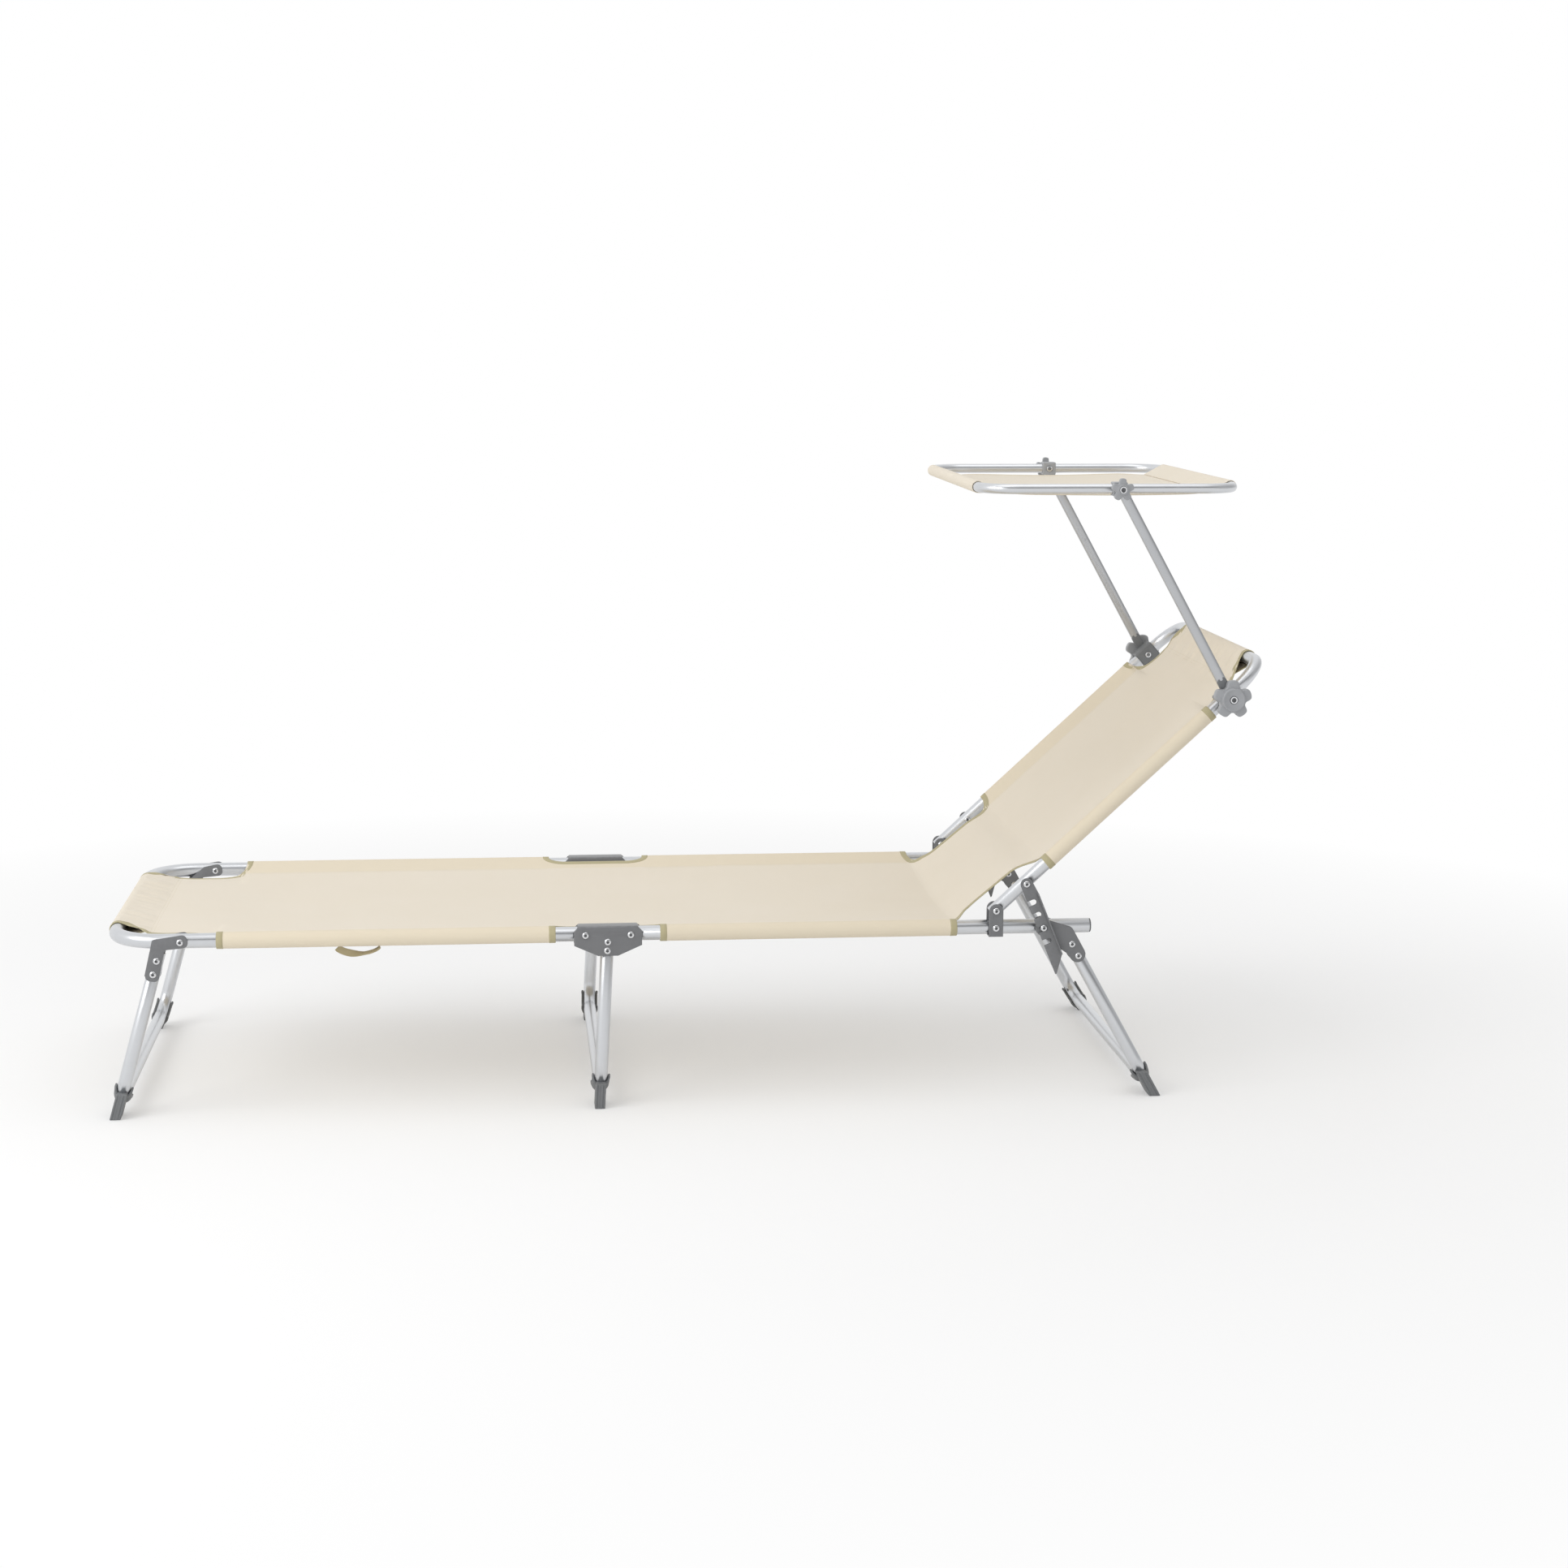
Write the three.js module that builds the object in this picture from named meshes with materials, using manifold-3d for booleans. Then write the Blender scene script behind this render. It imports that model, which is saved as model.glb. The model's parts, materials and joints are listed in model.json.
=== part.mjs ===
// Three-fold aluminium sun lounger with an adjustable back and a tilting sunshade.
// Millimetres, +Z up. X runs from the foot end to the head end, and -Y is the sitter's left.
import * as THREE from "three";
import { mergeVertices } from "three/addons/utils/BufferGeometryUtils.js";
import Module from "manifold-3d";

const wasm = await Module();
wasm.setup();

// Driving dimensions of the whole lounger
const RAIL_SPACING = 558; // between the axes of the two side rails
const RAIL_HEIGHT = 268; // rail axis above the ground
const MIDDLE_X = 746; // centre of the middle bracket from the foot end
const SEAT_END_X = 1482; // open rear ends of the seat rails
const BACK_PIVOT_X = 1335;
const NOTCH_PIN_X = 1408;
const FOOT_LEG_X = 113; // pivot of the foot end legs
const BACK_ANGLE = 42.6; // degrees above level, third notch
const BACK_LENGTH = 550; // pivot to the axis of the head tube

// Tubes and bends
const RAIL_R = 11;
const BACK_R = 10;
const LEG_R = 10;
const SHADE_R = 7.5;
const FRAME_BEND = 76;
const BACK_BEND = 54;
const LEG_BEND = 38;
const SHADE_BEND = 55;
const TUBE_SIDES = 14;
const LEG_SIDES = 12; // slimmer tubes
const BEND_STEPS = 6;
const LEG_BEND_STEPS = 5;

// Sheet metal, pins and running gaps
const GAP = 0.3;
const PLATE = 2;
const PLATE_GAP = 0.4; // plate to the tube that it straddles
const PIN_R = 3;
const HEAD_R = 5;
const HEAD_HIGH = 2.2;
const PIN_SIDES = 8;
const EDGE_ROUND = 0.8; // folded edges of the sheet metal

// Middle bracket, which carries the middle legs and both fold pivots
const MIDDLE_PIVOT_OFFSET = 34;
const MIDDLE_HALF = 51;
const MIDDLE_COVER_HALF = 44;
const MIDDLE_SKIRT = 16;
const MIDDLE_DROP = 32;
const MIDDLE_FLAT_HALF = 15;
const MIDDLE_LEG_TILT = 3;

// Folding legs: the leg axis runs beside its pivot, so that it folds under the rail
const LEG_OFFSET = 26;
const LEG_SPLAY = { foot: 15.8, rear: 29 }; // degrees
const LEG_TOP = { foot: 24, rear: 35 }; // below the pivot
const BRACKET_SHOULDER = { foot: 26, rear: 26 };
const BRACKET_KNEE = { foot: 22, rear: 56 };
const BRACKET_END = { foot: 67, rear: 76 };
const BRACKET_EAR_R = { foot: 10.5, rear: 13 };
const LEG_GROUND_GAP = 18; // underside of the cross tube above the ground, along the leg

// Foot: a saddle round the bend of the leg, and a block on its outer side
const SADDLE_WALL = 2.6;
const SADDLE_RISE = 18; // above the bend
const SADDLE_REACH = 20; // inboard of the bend
const SADDLE_LIP = 3; // how far it wraps past the leg's axis
const FOOT_WIDE = 13;
const FOOT_INBOARD = 18; // from the leg's axis
const FOOT_OUT = 16;
const FOOT_RISE = 36;

// Back clamp and back frame
const BACK_RISE = 26.5; // back pivot above the rail axis
const CLAMP_HALF = 11;
const CLAMP_TOP_R = 11;

// Notched bar that props the back
const BAR_ARM = 61.6; // back pivot to bar pivot
const BAR_HALF = 9.7;
const BAR_LENGTH = 148;
const BAR_HEAD_R = 9.5;
const BAR_TIP_CUT = 26;
const BAR_LIP = 5;
const NOTCH_PIN_R = 3.2;
const NOTCH_PLAY = 0.9; // lets the bar swing off the pin
const NOTCH_AT = [30, 51, 94.8]; // free notches from the bar pivot: upright, high and flat

// Sunshade
const MOUNT_FROM_HEAD = 72.3; // shade bracket along the back tube, from the axis of the head tube
const MOUNT_HALF = 17;
const MOUNT_WALL = 3.4;
const MOUNT_ROUND = 2;
const POST_ANGLE = 119; // degrees from +X at rest
const POST_LENGTH = 360;
const POST_WIDE = 15;
const POST_THICK = 10;
const SHADE_LENGTH = 388; // between the axes of its end tubes
const SHADE_FRONT = 204; // clamp axis to the axis of the front end tube
const SHADE_CLAMP_HALF = 11;
const SHADE_CLAMP_WALL = 2.6;
const KNOB = { lobe: 29, valley: 20, hub: 18, star: 12, rise: 5, lobes: 5 };
const SMALL_KNOB = { lobe: 17, valley: 10.5, hub: 8, star: 8, rise: 3, lobes: 5 };
const LOBE_SHARES = [1, 0.8, 0, 0.8]; // of a knob's lobe, round a fifth of a turn
const KNOB_EDGE = 1.2;

// Cloth
const CLOTH = 1.2;
const SLEEVE_GAP = 0.4;
const SLEEVE_WALL = 1.5;
const SLING_SAG = 11;
const SAG_RUN = 230; // from an end tube to the full sag
const SLEEVE_TUCK = 3; // how far the sheet stops short of the rail's axis
const EDGE_INSET = 47; // edge of the sheet at its cut-outs, from a side tube's axis
const CUTOUT_RUN = 46; // length of the curve from a cut-out to a sleeve
const CORNER_RUN = 60; // foot and head end corners
const SLEEVE_CLEAR = { leg: 53, middle: 79, hip: 25, pivot: 105, head: 106 }; // from these to a side sleeve
const END_SLEEVE_INSET = 85; // end of a head or foot sleeve, from a side tube's axis
const HIP_AHEAD = 35; // the crease where the seat cloth turns up, ahead of the back pivot
const SHADE_SLEEVE_INSET = 57;
const SHADE_CLOTH_INSET = 19;
const SHADE_SAG = 7;
const SHADE_CURVE = 90;
const SHEET_ROWS = 10;
const SHEET_COLUMNS = 8;

// Webbing carry handle under the left rail of the foot section
const HANDLE = { from: 346, to: 403, drop: 21, thick: 1.6, width: 24 };

const HALF = RAIL_SPACING / 2;
const BACK_PIVOT_Z = RAIL_HEIGHT + BACK_RISE;
const FOLD_X = { foot: MIDDLE_X - MIDDLE_PIVOT_OFFSET, seat: MIDDLE_X + MIDDLE_PIVOT_OFFSET };
const CROWN_SHARE = 0.6; // flat top of a rivet head
const deg = THREE.MathUtils.degToRad;

// Layers out from the plane of the side frames: bracket, notched bar, shade post, knob
const SPAN_IN = RAIL_R + PLATE_GAP;
const SPAN_OUT = SPAN_IN + PLATE;
const BAR_IN = SPAN_OUT + GAP + HEAD_HIGH / 2;
const BAR_OUT = BAR_IN + PLATE;
const MOUNT_OUT = BACK_R + PLATE_GAP + MOUNT_WALL;
const POST_IN = MOUNT_OUT + 2 * GAP;
const POST_OUT = POST_IN + POST_THICK;
const KNOB_IN = POST_OUT + 2 * GAP;
const SHADE_HALF = HALF + POST_IN - 2 * GAP - SHADE_R - SHADE_CLAMP_WALL; // shade clamps fit inside the posts

// Places along the tubes that follow from the driving dimensions
const MOUNT_AT = BACK_LENGTH - MOUNT_FROM_HEAD;
const HIP_X = BACK_PIVOT_X - HIP_AHEAD;
const EDGE_HALF = HALF - EDGE_INSET;
const END_SLEEVE_HALF = HALF - END_SLEEVE_INSET;
const SHADE_SLEEVE_HALF = SHADE_HALF - SHADE_SLEEVE_INSET;
const SHADE_CLOTH_HALF = SHADE_HALF - SHADE_CLOTH_INSET;
const SLEEVES = {
  foot: [FOOT_LEG_X + SLEEVE_CLEAR.leg, MIDDLE_X - SLEEVE_CLEAR.middle],
  seat: [MIDDLE_X + SLEEVE_CLEAR.middle, HIP_X - SLEEVE_CLEAR.hip],
  back: [SLEEVE_CLEAR.pivot, BACK_LENGTH - SLEEVE_CLEAR.head],
};

// Where the bar's pivot and the notch pin lie in the side view
const barPivot = new THREE.Vector2(
  BACK_PIVOT_X + BAR_ARM * Math.cos(deg(BACK_ANGLE)),
  BACK_PIVOT_Z + BAR_ARM * Math.sin(deg(BACK_ANGLE)),
);
const notchPinAt = new THREE.Vector2(NOTCH_PIN_X, RAIL_HEIGHT);
const pinDistance = barPivot.distanceTo(notchPinAt);
const barLean = Math.atan2(notchPinAt.x - barPivot.x, barPivot.y - notchPinAt.y);

const aluminium = new THREE.MeshStandardMaterial({ color: 0xc9cbcd, roughness: 0.34, metalness: 0.9 });
const darkSteel = new THREE.MeshStandardMaterial({ color: 0x5b5d5f, roughness: 0.5, metalness: 0.2 });
const rivetSteel = new THREE.MeshStandardMaterial({ color: 0xd9dadb, roughness: 0.22, metalness: 1 });
const greyPlastic = new THREE.MeshStandardMaterial({ color: 0x818386, roughness: 0.55, metalness: 0 });
const rubber = new THREE.MeshStandardMaterial({ color: 0x56585a, roughness: 0.8, metalness: 0 });
const canvas = new THREE.MeshStandardMaterial({ color: 0xe6dcc8, roughness: 0.9, metalness: 0 });

// Solids from geometries, and geometries from solids
function solid(geometry) {
  const bare = geometry.clone();
  bare.deleteAttribute("normal");
  bare.deleteAttribute("uv");
  const merged = mergeVertices(bare, 1e-4);
  return new wasm.Manifold(
    new wasm.Mesh({
      numProp: 3,
      vertProperties: merged.attributes.position.array,
      triVerts: new Uint32Array(merged.index.array),
    }),
  );
}

function geometryOf(made) {
  const { vertProperties, triVerts } = made.getMesh();
  return new THREE.BufferGeometry()
    .setAttribute("position", new THREE.BufferAttribute(vertProperties, 3))
    .setIndex(new THREE.BufferAttribute(triVerts, 1));
}

function cutAll(base, cutters) {
  return cutters.reduce((made, cutter) => made.subtract(cutter), base);
}

function joinAll(solids) {
  return solids.reduce((made, next) => made.add(next));
}

function mesh(name, made, material, parent) {
  const piece = new THREE.Mesh(geometryOf(made), material);
  piece.name = name;
  parent.add(piece);
}

// The left piece, and its mirror image on the right
function pair(name, made, material, parent) {
  mesh(name + "_left", made, material, parent);
  mesh(name + "_right", made, material, parent);
  parent.children.at(-1).scale.y = -1;
}

// A side view outline in X and Z, drawn out along Y from one face to the other
function plate(outline, from, to, round = 0) {
  const geometry = new THREE.ExtrudeGeometry(outline, {
    depth: to - from - 2 * round,
    bevelEnabled: round > 0,
    bevelThickness: round,
    bevelSize: round,
    bevelOffset: -round,
    bevelSegments: 1,
    curveSegments: 4,
  });
  return solid(geometry.rotateX(Math.PI / 2).translate(0, to - round, 0));
}

function polygon(points) {
  return new THREE.Shape(points.map(([x, z]) => new THREE.Vector2(x, z)));
}

// A rectangle about a centre, with its corners cut off
function chamfered(x, z, halfX, halfZ, cut) {
  const quarter = [
    [halfX, halfZ - cut],
    [halfX - cut, halfZ],
  ];
  const mirror = (signX, signZ, points) => points.map(([px, pz]) => [x + signX * px, z + signZ * pz]);
  return polygon([
    ...mirror(1, 1, quarter),
    ...mirror(-1, 1, [...quarter].reverse()),
    ...mirror(-1, -1, quarter),
    ...mirror(1, -1, [...quarter].reverse()),
  ]);
}

function rectangle([lowX, lowZ], [highX, highZ]) {
  return polygon([
    [lowX, lowZ],
    [highX, lowZ],
    [highX, highZ],
    [lowX, highZ],
  ]);
}

// A piece turned about a line along Y, from points of radius and place
function turned(x, z, profile, sides = PIN_SIDES) {
  const points = profile.map(([radius, at]) => new THREE.Vector2(radius, at));
  return solid(new THREE.LatheGeometry(points, sides).translate(x, 0, z));
}

function roundBar(x, z, radius, from, to, sides = PIN_SIDES) {
  const bar = new THREE.CylinderGeometry(radius, radius, to - from, sides);
  return solid(bar.translate(x, (from + to) / 2, z));
}

// A low rivet head, as a profile from its flat crown to the shank
function headProfile(crownAt, way, shank = PIN_R) {
  return [
    [0, crownAt],
    [HEAD_R * CROWN_SHARE, crownAt],
    [HEAD_R, crownAt + (way * HEAD_HIGH) / 2],
    [HEAD_R, crownAt + way * HEAD_HIGH],
    [shank, crownAt + way * HEAD_HIGH],
  ];
}

// A headed pin whose heads sit on the outer faces of a channel round the rail
function pivotPin(x, z) {
  const reach = SPAN_OUT + GAP + HEAD_HIGH;
  return turned(x, z, [
    ...headProfile(-HALF - reach, 1),
    ...headProfile(-HALF + reach, -1).reverse(),
  ]);
}

function bore(x, z, reach) {
  return roundBar(x, z, PIN_R + GAP, -HALF - reach, -HALF + reach);
}

// Bores right across both side frames
function crossBores(places, reach) {
  return places.map((x) => roundBar(x, 0, PIN_R + GAP, -HALF - reach, HALF + reach));
}

// A curve through fixed stations, so that a straight run takes one step and a bend several
class BentPath extends THREE.Curve {
  constructor(stations) {
    super();
    this.stations = stations;
  }

  station(share) {
    return this.stations[Math.round(share * (this.stations.length - 1))];
  }

  getPointAt(share) {
    return this.station(share).point.clone();
  }

  getTangentAt(share) {
    return this.station(share).heading.clone();
  }
}

// Stations of a line through corners that are rounded to one radius
function bentStations(corners, radius, steps = BEND_STEPS) {
  const points = corners.map((corner) => new THREE.Vector3(...corner));
  const last = points.length - 1;
  const headingFrom = (i) => points[i + 1].clone().sub(points[i]).normalize();
  const stations = [{ point: points[0], heading: headingFrom(0) }];
  for (let i = 1; i < last; i += 1) {
    const before = headingFrom(i - 1);
    const turn = before.angleTo(headingFrom(i));
    const axis = before.clone().cross(headingFrom(i)).normalize();
    const start = points[i].clone().addScaledVector(before, -radius * Math.tan(turn / 2));
    const toCentre = axis.clone().cross(before).multiplyScalar(radius);
    for (let step = 0; step <= steps; step += 1) {
      const angle = (turn * step) / steps;
      const arm = toCentre.clone().negate().applyAxisAngle(axis, angle);
      stations.push({
        point: start.clone().add(toCentre).add(arm),
        heading: before.clone().applyAxisAngle(axis, angle),
      });
    }
  }
  stations.push({ point: points[last], heading: headingFrom(last - 1) });
  return stations;
}

function circle(radius, sides) {
  const points = Array.from({ length: sides }, (_, i) => {
    const angle = (2 * Math.PI * (i + 0.5)) / sides;
    return new THREE.Vector2(radius * Math.cos(angle), radius * Math.sin(angle));
  });
  return new THREE.Shape(points);
}

function bentTube(corners, bend, radius, sides = TUBE_SIDES, steps = BEND_STEPS) {
  const stations = bentStations(corners, bend, steps);
  const geometry = new THREE.ExtrudeGeometry(circle(radius, sides), {
    steps: stations.length - 1,
    bevelEnabled: false,
    extrudePath: new BentPath(stations),
  });
  return solid(geometry);
}

function straightTube(from, to, radius, sides = TUBE_SIDES) {
  return bentTube([from, to], 0, radius, sides);
}

// A tube bent round one end of the lounger, from one side frame across to the other
function endLoop(startX, endX, z, bend, radius, half = HALF, sides = TUBE_SIDES) {
  const corners = [
    [startX, -half, z],
    [endX, -half, z],
    [endX, half, z],
    [startX, half, z],
  ];
  return bentTube(corners, bend, radius, sides);
}

// What rounds the end of a tube about its pivot, so that it turns clear of its bracket
function endRounding(x, z, radius, way) {
  const far = x + way * 2 * radius;
  const outline = rectangle([Math.min(x, far), z - 2 * radius], [Math.max(x, far), z + 2 * radius]);
  const reach = HALF + 2 * radius;
  const round = roundBar(x, z, radius - GAP / 2, -2 * reach, 2 * reach, TUBE_SIDES);
  return plate(outline, -reach, reach).subtract(round);
}

// A folded channel that straddles a rail: an outline with a cavity cut from it
function channel(outline, cavity) {
  const outer = plate(outline, -HALF - SPAN_OUT, -HALF + SPAN_OUT, EDGE_ROUND);
  return outer.subtract(plate(cavity, -HALF - SPAN_IN, -HALF + SPAN_IN));
}

// A folding leg frame is drawn with its pivot at the origin, its legs straight down and to the rear,
// then turned to its splay. The foot end leg is its mirror image.
function foldingLeg(kind, pivotX, way) {
  const splay = deg(LEG_SPLAY[kind]);
  const group = new THREE.Group();
  group.position.set(pivotX, 0, RAIL_HEIGHT);
  group.rotation.y = -way * splay;
  group.scale.x = way;
  const ground = (x) => -(RAIL_HEIGHT + x * Math.sin(splay)) / Math.cos(splay);
  const lowZ = ground(LEG_OFFSET) + LEG_GROUND_GAP + LEG_R;
  mesh(kind + "_leg_frame", legFrame(LEG_OFFSET, -LEG_TOP[kind], lowZ), aluminium, group);
  pair(kind + "_leg_bracket", legBracket(kind, splay), darkSteel, group);
  pair(kind + "_leg_foot", legFoot(LEG_OFFSET, lowZ, ground), rubber, group);
  return group;
}

function legFrame(x, topZ, lowZ) {
  const corners = [
    [x, -HALF, topZ],
    [x, -HALF, lowZ],
    [x, HALF, lowZ],
    [x, HALF, topZ],
  ];
  return bentTube(corners, LEG_BEND, LEG_R, LEG_SIDES, LEG_BEND_STEPS);
}

// Bracket of a folding leg: ears beside the rail, and a web round the outer side of the leg
function legBracket(kind, splay) {
  const earR = BRACKET_EAR_R[kind];
  const legR = LEG_R + PLATE_GAP + PLATE;
  const shoulder = new THREE.Vector2(LEG_OFFSET, -BRACKET_SHOULDER[kind]);
  const knee = new THREE.Vector2(LEG_OFFSET - legR, -BRACKET_KNEE[kind]);
  const upper = shoulder.angle() - 2 * Math.PI + Math.PI / 2 + Math.asin((earR - legR) / shoulder.length());
  const lower = knee.angle() - 2 * Math.PI - Math.acos(earR / knee.length());
  const outline = new THREE.Shape();
  outline.absarc(0, 0, earR, lower, upper - 2 * Math.PI, true);
  outline.absarc(shoulder.x, shoulder.y, legR, upper, 0, true);
  outline.absarc(LEG_OFFSET, legR - BRACKET_END[kind], legR, 0, -Math.PI, true);
  outline.lineTo(knee.x, knee.y);
  const webX = LEG_OFFSET + LEG_R + PLATE_GAP;
  const webTop = (RAIL_R + PLATE + webX * Math.sin(splay)) / Math.cos(splay);
  const overrun = 2 * BRACKET_END[kind];
  const cavity = polygon([
    [-overrun, -overrun],
    [webX, -overrun],
    [webX, -webTop],
    [overrun, -webTop],
    [overrun, overrun],
    [-overrun, overrun],
  ]);
  return channel(outline, cavity).subtract(bore(0, 0, 2 * SPAN_OUT));
}

function legFoot(x, lowZ, ground) {
  const outerR = LEG_R + GAP + SADDLE_WALL;
  const centreY = -HALF + LEG_BEND;
  const centreZ = lowZ + LEG_BEND;
  const corner = (rise, reach) => [
    [x, -HALF, centreZ + rise],
    [x, -HALF, lowZ],
    [x, centreY + reach, lowZ],
  ];
  const saddlePath = corner(SADDLE_RISE, SADDLE_REACH);
  const legPath = corner(2 * SADDLE_RISE, 2 * SADDLE_REACH);
  const saddle = bentTube(saddlePath, LEG_BEND, outerR, LEG_SIDES, LEG_BEND_STEPS);
  const leg = bentTube(legPath, LEG_BEND, LEG_R + GAP, LEG_SIDES, LEG_BEND_STEPS);
  const left = x - FOOT_WIDE / 2;
  const right = x + FOOT_WIDE / 2;
  const topZ = ground(x) + FOOT_RISE;
  const outline = polygon([
    [left, ground(left)],
    [right, ground(right)],
    [right, topZ],
    [left, topZ],
  ]);
  const block = plate(outline, -HALF - FOOT_OUT, FOOT_INBOARD - HALF);
  return cutAll(saddle.add(block), [insideOfBend(x, centreY, centreZ, outerR), leg]);
}

// The space on the inner side of a leg's bend, drawn out along X, which opens the saddle
function insideOfBend(x, centreY, centreZ, outerR) {
  const arcR = LEG_BEND - SADDLE_LIP;
  const reach = 2 * LEG_BEND;
  const shape = new THREE.Shape();
  shape.absarc(centreY, centreZ, arcR, Math.PI, 1.5 * Math.PI, false);
  shape.lineTo(centreY + reach, centreZ - arcR);
  shape.lineTo(centreY + reach, centreZ + reach);
  shape.lineTo(centreY - arcR, centreZ + reach);
  const depth = 2 * outerR + 2 * GAP;
  const geometry = new THREE.ExtrudeGeometry(shape, { depth, bevelEnabled: false, curveSegments: 4 });
  const [along, up, across] = [[0, 1, 0], [0, 0, 1], [1, 0, 0]].map((axis) => new THREE.Vector3(...axis));
  geometry.applyMatrix4(new THREE.Matrix4().makeBasis(along, up, across));
  return solid(geometry.translate(x - depth / 2, 0, 0));
}

// Middle bracket: a folded cover over both rail ends, with side plates down to the leg
function middleBracket() {
  const top = SPAN_IN + PLATE;
  const corner = MIDDLE_HALF - MIDDLE_COVER_HALF;
  const right = [
    [MIDDLE_FLAT_HALF, -MIDDLE_DROP],
    [MIDDLE_HALF, -MIDDLE_SKIRT],
    [MIDDLE_HALF, top - corner],
    [MIDDLE_COVER_HALF, top],
  ];
  const left = right.map(([x, z]) => [-x, z]).reverse();
  const place = ([x, z]) => [MIDDLE_X + x, RAIL_HEIGHT + z];
  const outline = polygon([...right, ...left].map(place));
  const cavity = rectangle(
    place([-2 * MIDDLE_HALF, -2 * MIDDLE_DROP]),
    place([2 * MIDDLE_HALF, SPAN_IN]),
  );
  const bores = [FOLD_X.foot, FOLD_X.seat].map((x) => bore(x, RAIL_HEIGHT, 2 * SPAN_OUT));
  return cutAll(channel(outline, cavity), bores);
}

function middleLeg() {
  const tilt = deg(MIDDLE_LEG_TILT);
  const group = new THREE.Group();
  group.position.set(MIDDLE_X, 0, RAIL_HEIGHT);
  group.rotation.y = tilt;
  const ground = (x) => -(RAIL_HEIGHT - x * Math.sin(tilt)) / Math.cos(tilt);
  const lowZ = ground(0) + LEG_GROUND_GAP + LEG_R;
  mesh("middle_leg_frame", legFrame(0, LEG_R, lowZ), aluminium, group);
  pair("middle_leg_foot", legFoot(0, lowZ, ground), rubber, group);
  return group;
}

// Foot section frame, bent round the foot end
function footFrame() {
  const loop = endLoop(FOLD_X.foot + RAIL_R, RAIL_R, RAIL_HEIGHT, FRAME_BEND, RAIL_R);
  const bores = crossBores([FOOT_LEG_X, FOLD_X.foot], 2 * RAIL_R).map((hole) =>
    hole.translate([0, 0, RAIL_HEIGHT]),
  );
  return cutAll(loop, [endRounding(FOLD_X.foot, RAIL_HEIGHT, RAIL_R, 1), ...bores]);
}

function seatRail() {
  const start = [FOLD_X.seat - RAIL_R, -HALF, RAIL_HEIGHT];
  const end = [SEAT_END_X - PLATE, -HALF, RAIL_HEIGHT];
  const bores = [FOLD_X.seat, NOTCH_PIN_X].map((x) => bore(x, RAIL_HEIGHT, 2 * RAIL_R));
  const rounding = endRounding(FOLD_X.seat, RAIL_HEIGHT, RAIL_R, -1);
  return cutAll(straightTube(start, end, RAIL_R), [rounding, ...bores]);
}

function railPlug() {
  const disc = new THREE.CylinderGeometry(RAIL_R - EDGE_ROUND, RAIL_R, PLATE, TUBE_SIDES);
  const x = SEAT_END_X - PLATE / 2 + GAP;
  return solid(disc.rotateZ(-Math.PI / 2).translate(x, -HALF, RAIL_HEIGHT));
}

// The clamp under the rail that carries the back pivot between its ears
function backClamp() {
  const low = RAIL_HEIGHT - SPAN_OUT;
  const outline = new THREE.Shape();
  outline.moveTo(BACK_PIVOT_X - CLAMP_HALF, low);
  outline.lineTo(BACK_PIVOT_X + CLAMP_HALF, low);
  outline.absarc(BACK_PIVOT_X, BACK_PIVOT_Z, CLAMP_TOP_R, 0, Math.PI, false);
  const cavity = rectangle(
    [BACK_PIVOT_X - 2 * CLAMP_HALF, RAIL_HEIGHT - SPAN_IN],
    [BACK_PIVOT_X + 2 * CLAMP_HALF, BACK_PIVOT_Z + 2 * CLAMP_TOP_R],
  );
  return channel(outline, cavity).subtract(bore(BACK_PIVOT_X, BACK_PIVOT_Z, 2 * SPAN_OUT));
}

// The back is drawn flat along +X from its pivot, then turned up to its angle
function backFrame() {
  const loop = endLoop(-BACK_R, BACK_LENGTH, 0, BACK_BEND, BACK_R);
  return cutAll(loop, [
    endRounding(0, 0, BACK_R, -1),
    ...crossBores([0, BAR_ARM, MOUNT_AT], 2 * BACK_R),
  ]);
}

function shadeBracket() {
  const outline = chamfered(MOUNT_AT, 0, MOUNT_HALF, MOUNT_OUT, MOUNT_ROUND);
  const block = plate(outline, -HALF - MOUNT_OUT, -HALF + MOUNT_OUT, MOUNT_ROUND);
  const start = [MOUNT_AT - 2 * MOUNT_HALF, -HALF, 0];
  const end = [MOUNT_AT + 2 * MOUNT_HALF, -HALF, 0];
  return cutAll(block, [straightTube(start, end, BACK_R + PLATE_GAP), bore(MOUNT_AT, 0, 2 * MOUNT_OUT)]);
}

// The notched bar, drawn hanging straight down from its pivot, with its notches to the front
function notchBar() {
  const edge = BAR_HALF + PLATE;
  const notchHalf = NOTCH_PIN_R + NOTCH_PLAY;
  const outline = new THREE.Shape();
  outline.absarc(0, 0, BAR_HEAD_R, Math.PI, 0, true);
  outline.lineTo(edge, -2 * BAR_HEAD_R);
  outline.lineTo(edge, BAR_TIP_CUT - BAR_LENGTH);
  outline.lineTo(PLATE - BAR_HALF, -BAR_LENGTH);
  outline.lineTo(-BAR_HALF, -BAR_LENGTH);
  for (const at of [...NOTCH_AT, pinDistance].sort((a, b) => b - a)) {
    outline.lineTo(-BAR_HALF, -at - notchHalf);
    outline.absarc(0, -at, notchHalf, -Math.PI / 2, Math.PI / 2, false);
    outline.lineTo(-BAR_HALF, notchHalf - at);
  }
  const lip = polygon([
    [BAR_HALF, -2 * BAR_HEAD_R],
    [BAR_HALF, BAR_TIP_CUT - BAR_LENGTH],
    [edge, BAR_TIP_CUT - BAR_LENGTH],
    [edge, -2 * BAR_HEAD_R],
  ]);
  const face = plate(outline, -HALF - BAR_OUT, -HALF - BAR_IN);
  const rib = plate(lip, -HALF - BAR_OUT - BAR_LIP, -HALF - BAR_IN);
  return face.add(rib).subtract(bore(0, 0, 2 * BAR_OUT));
}

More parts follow.
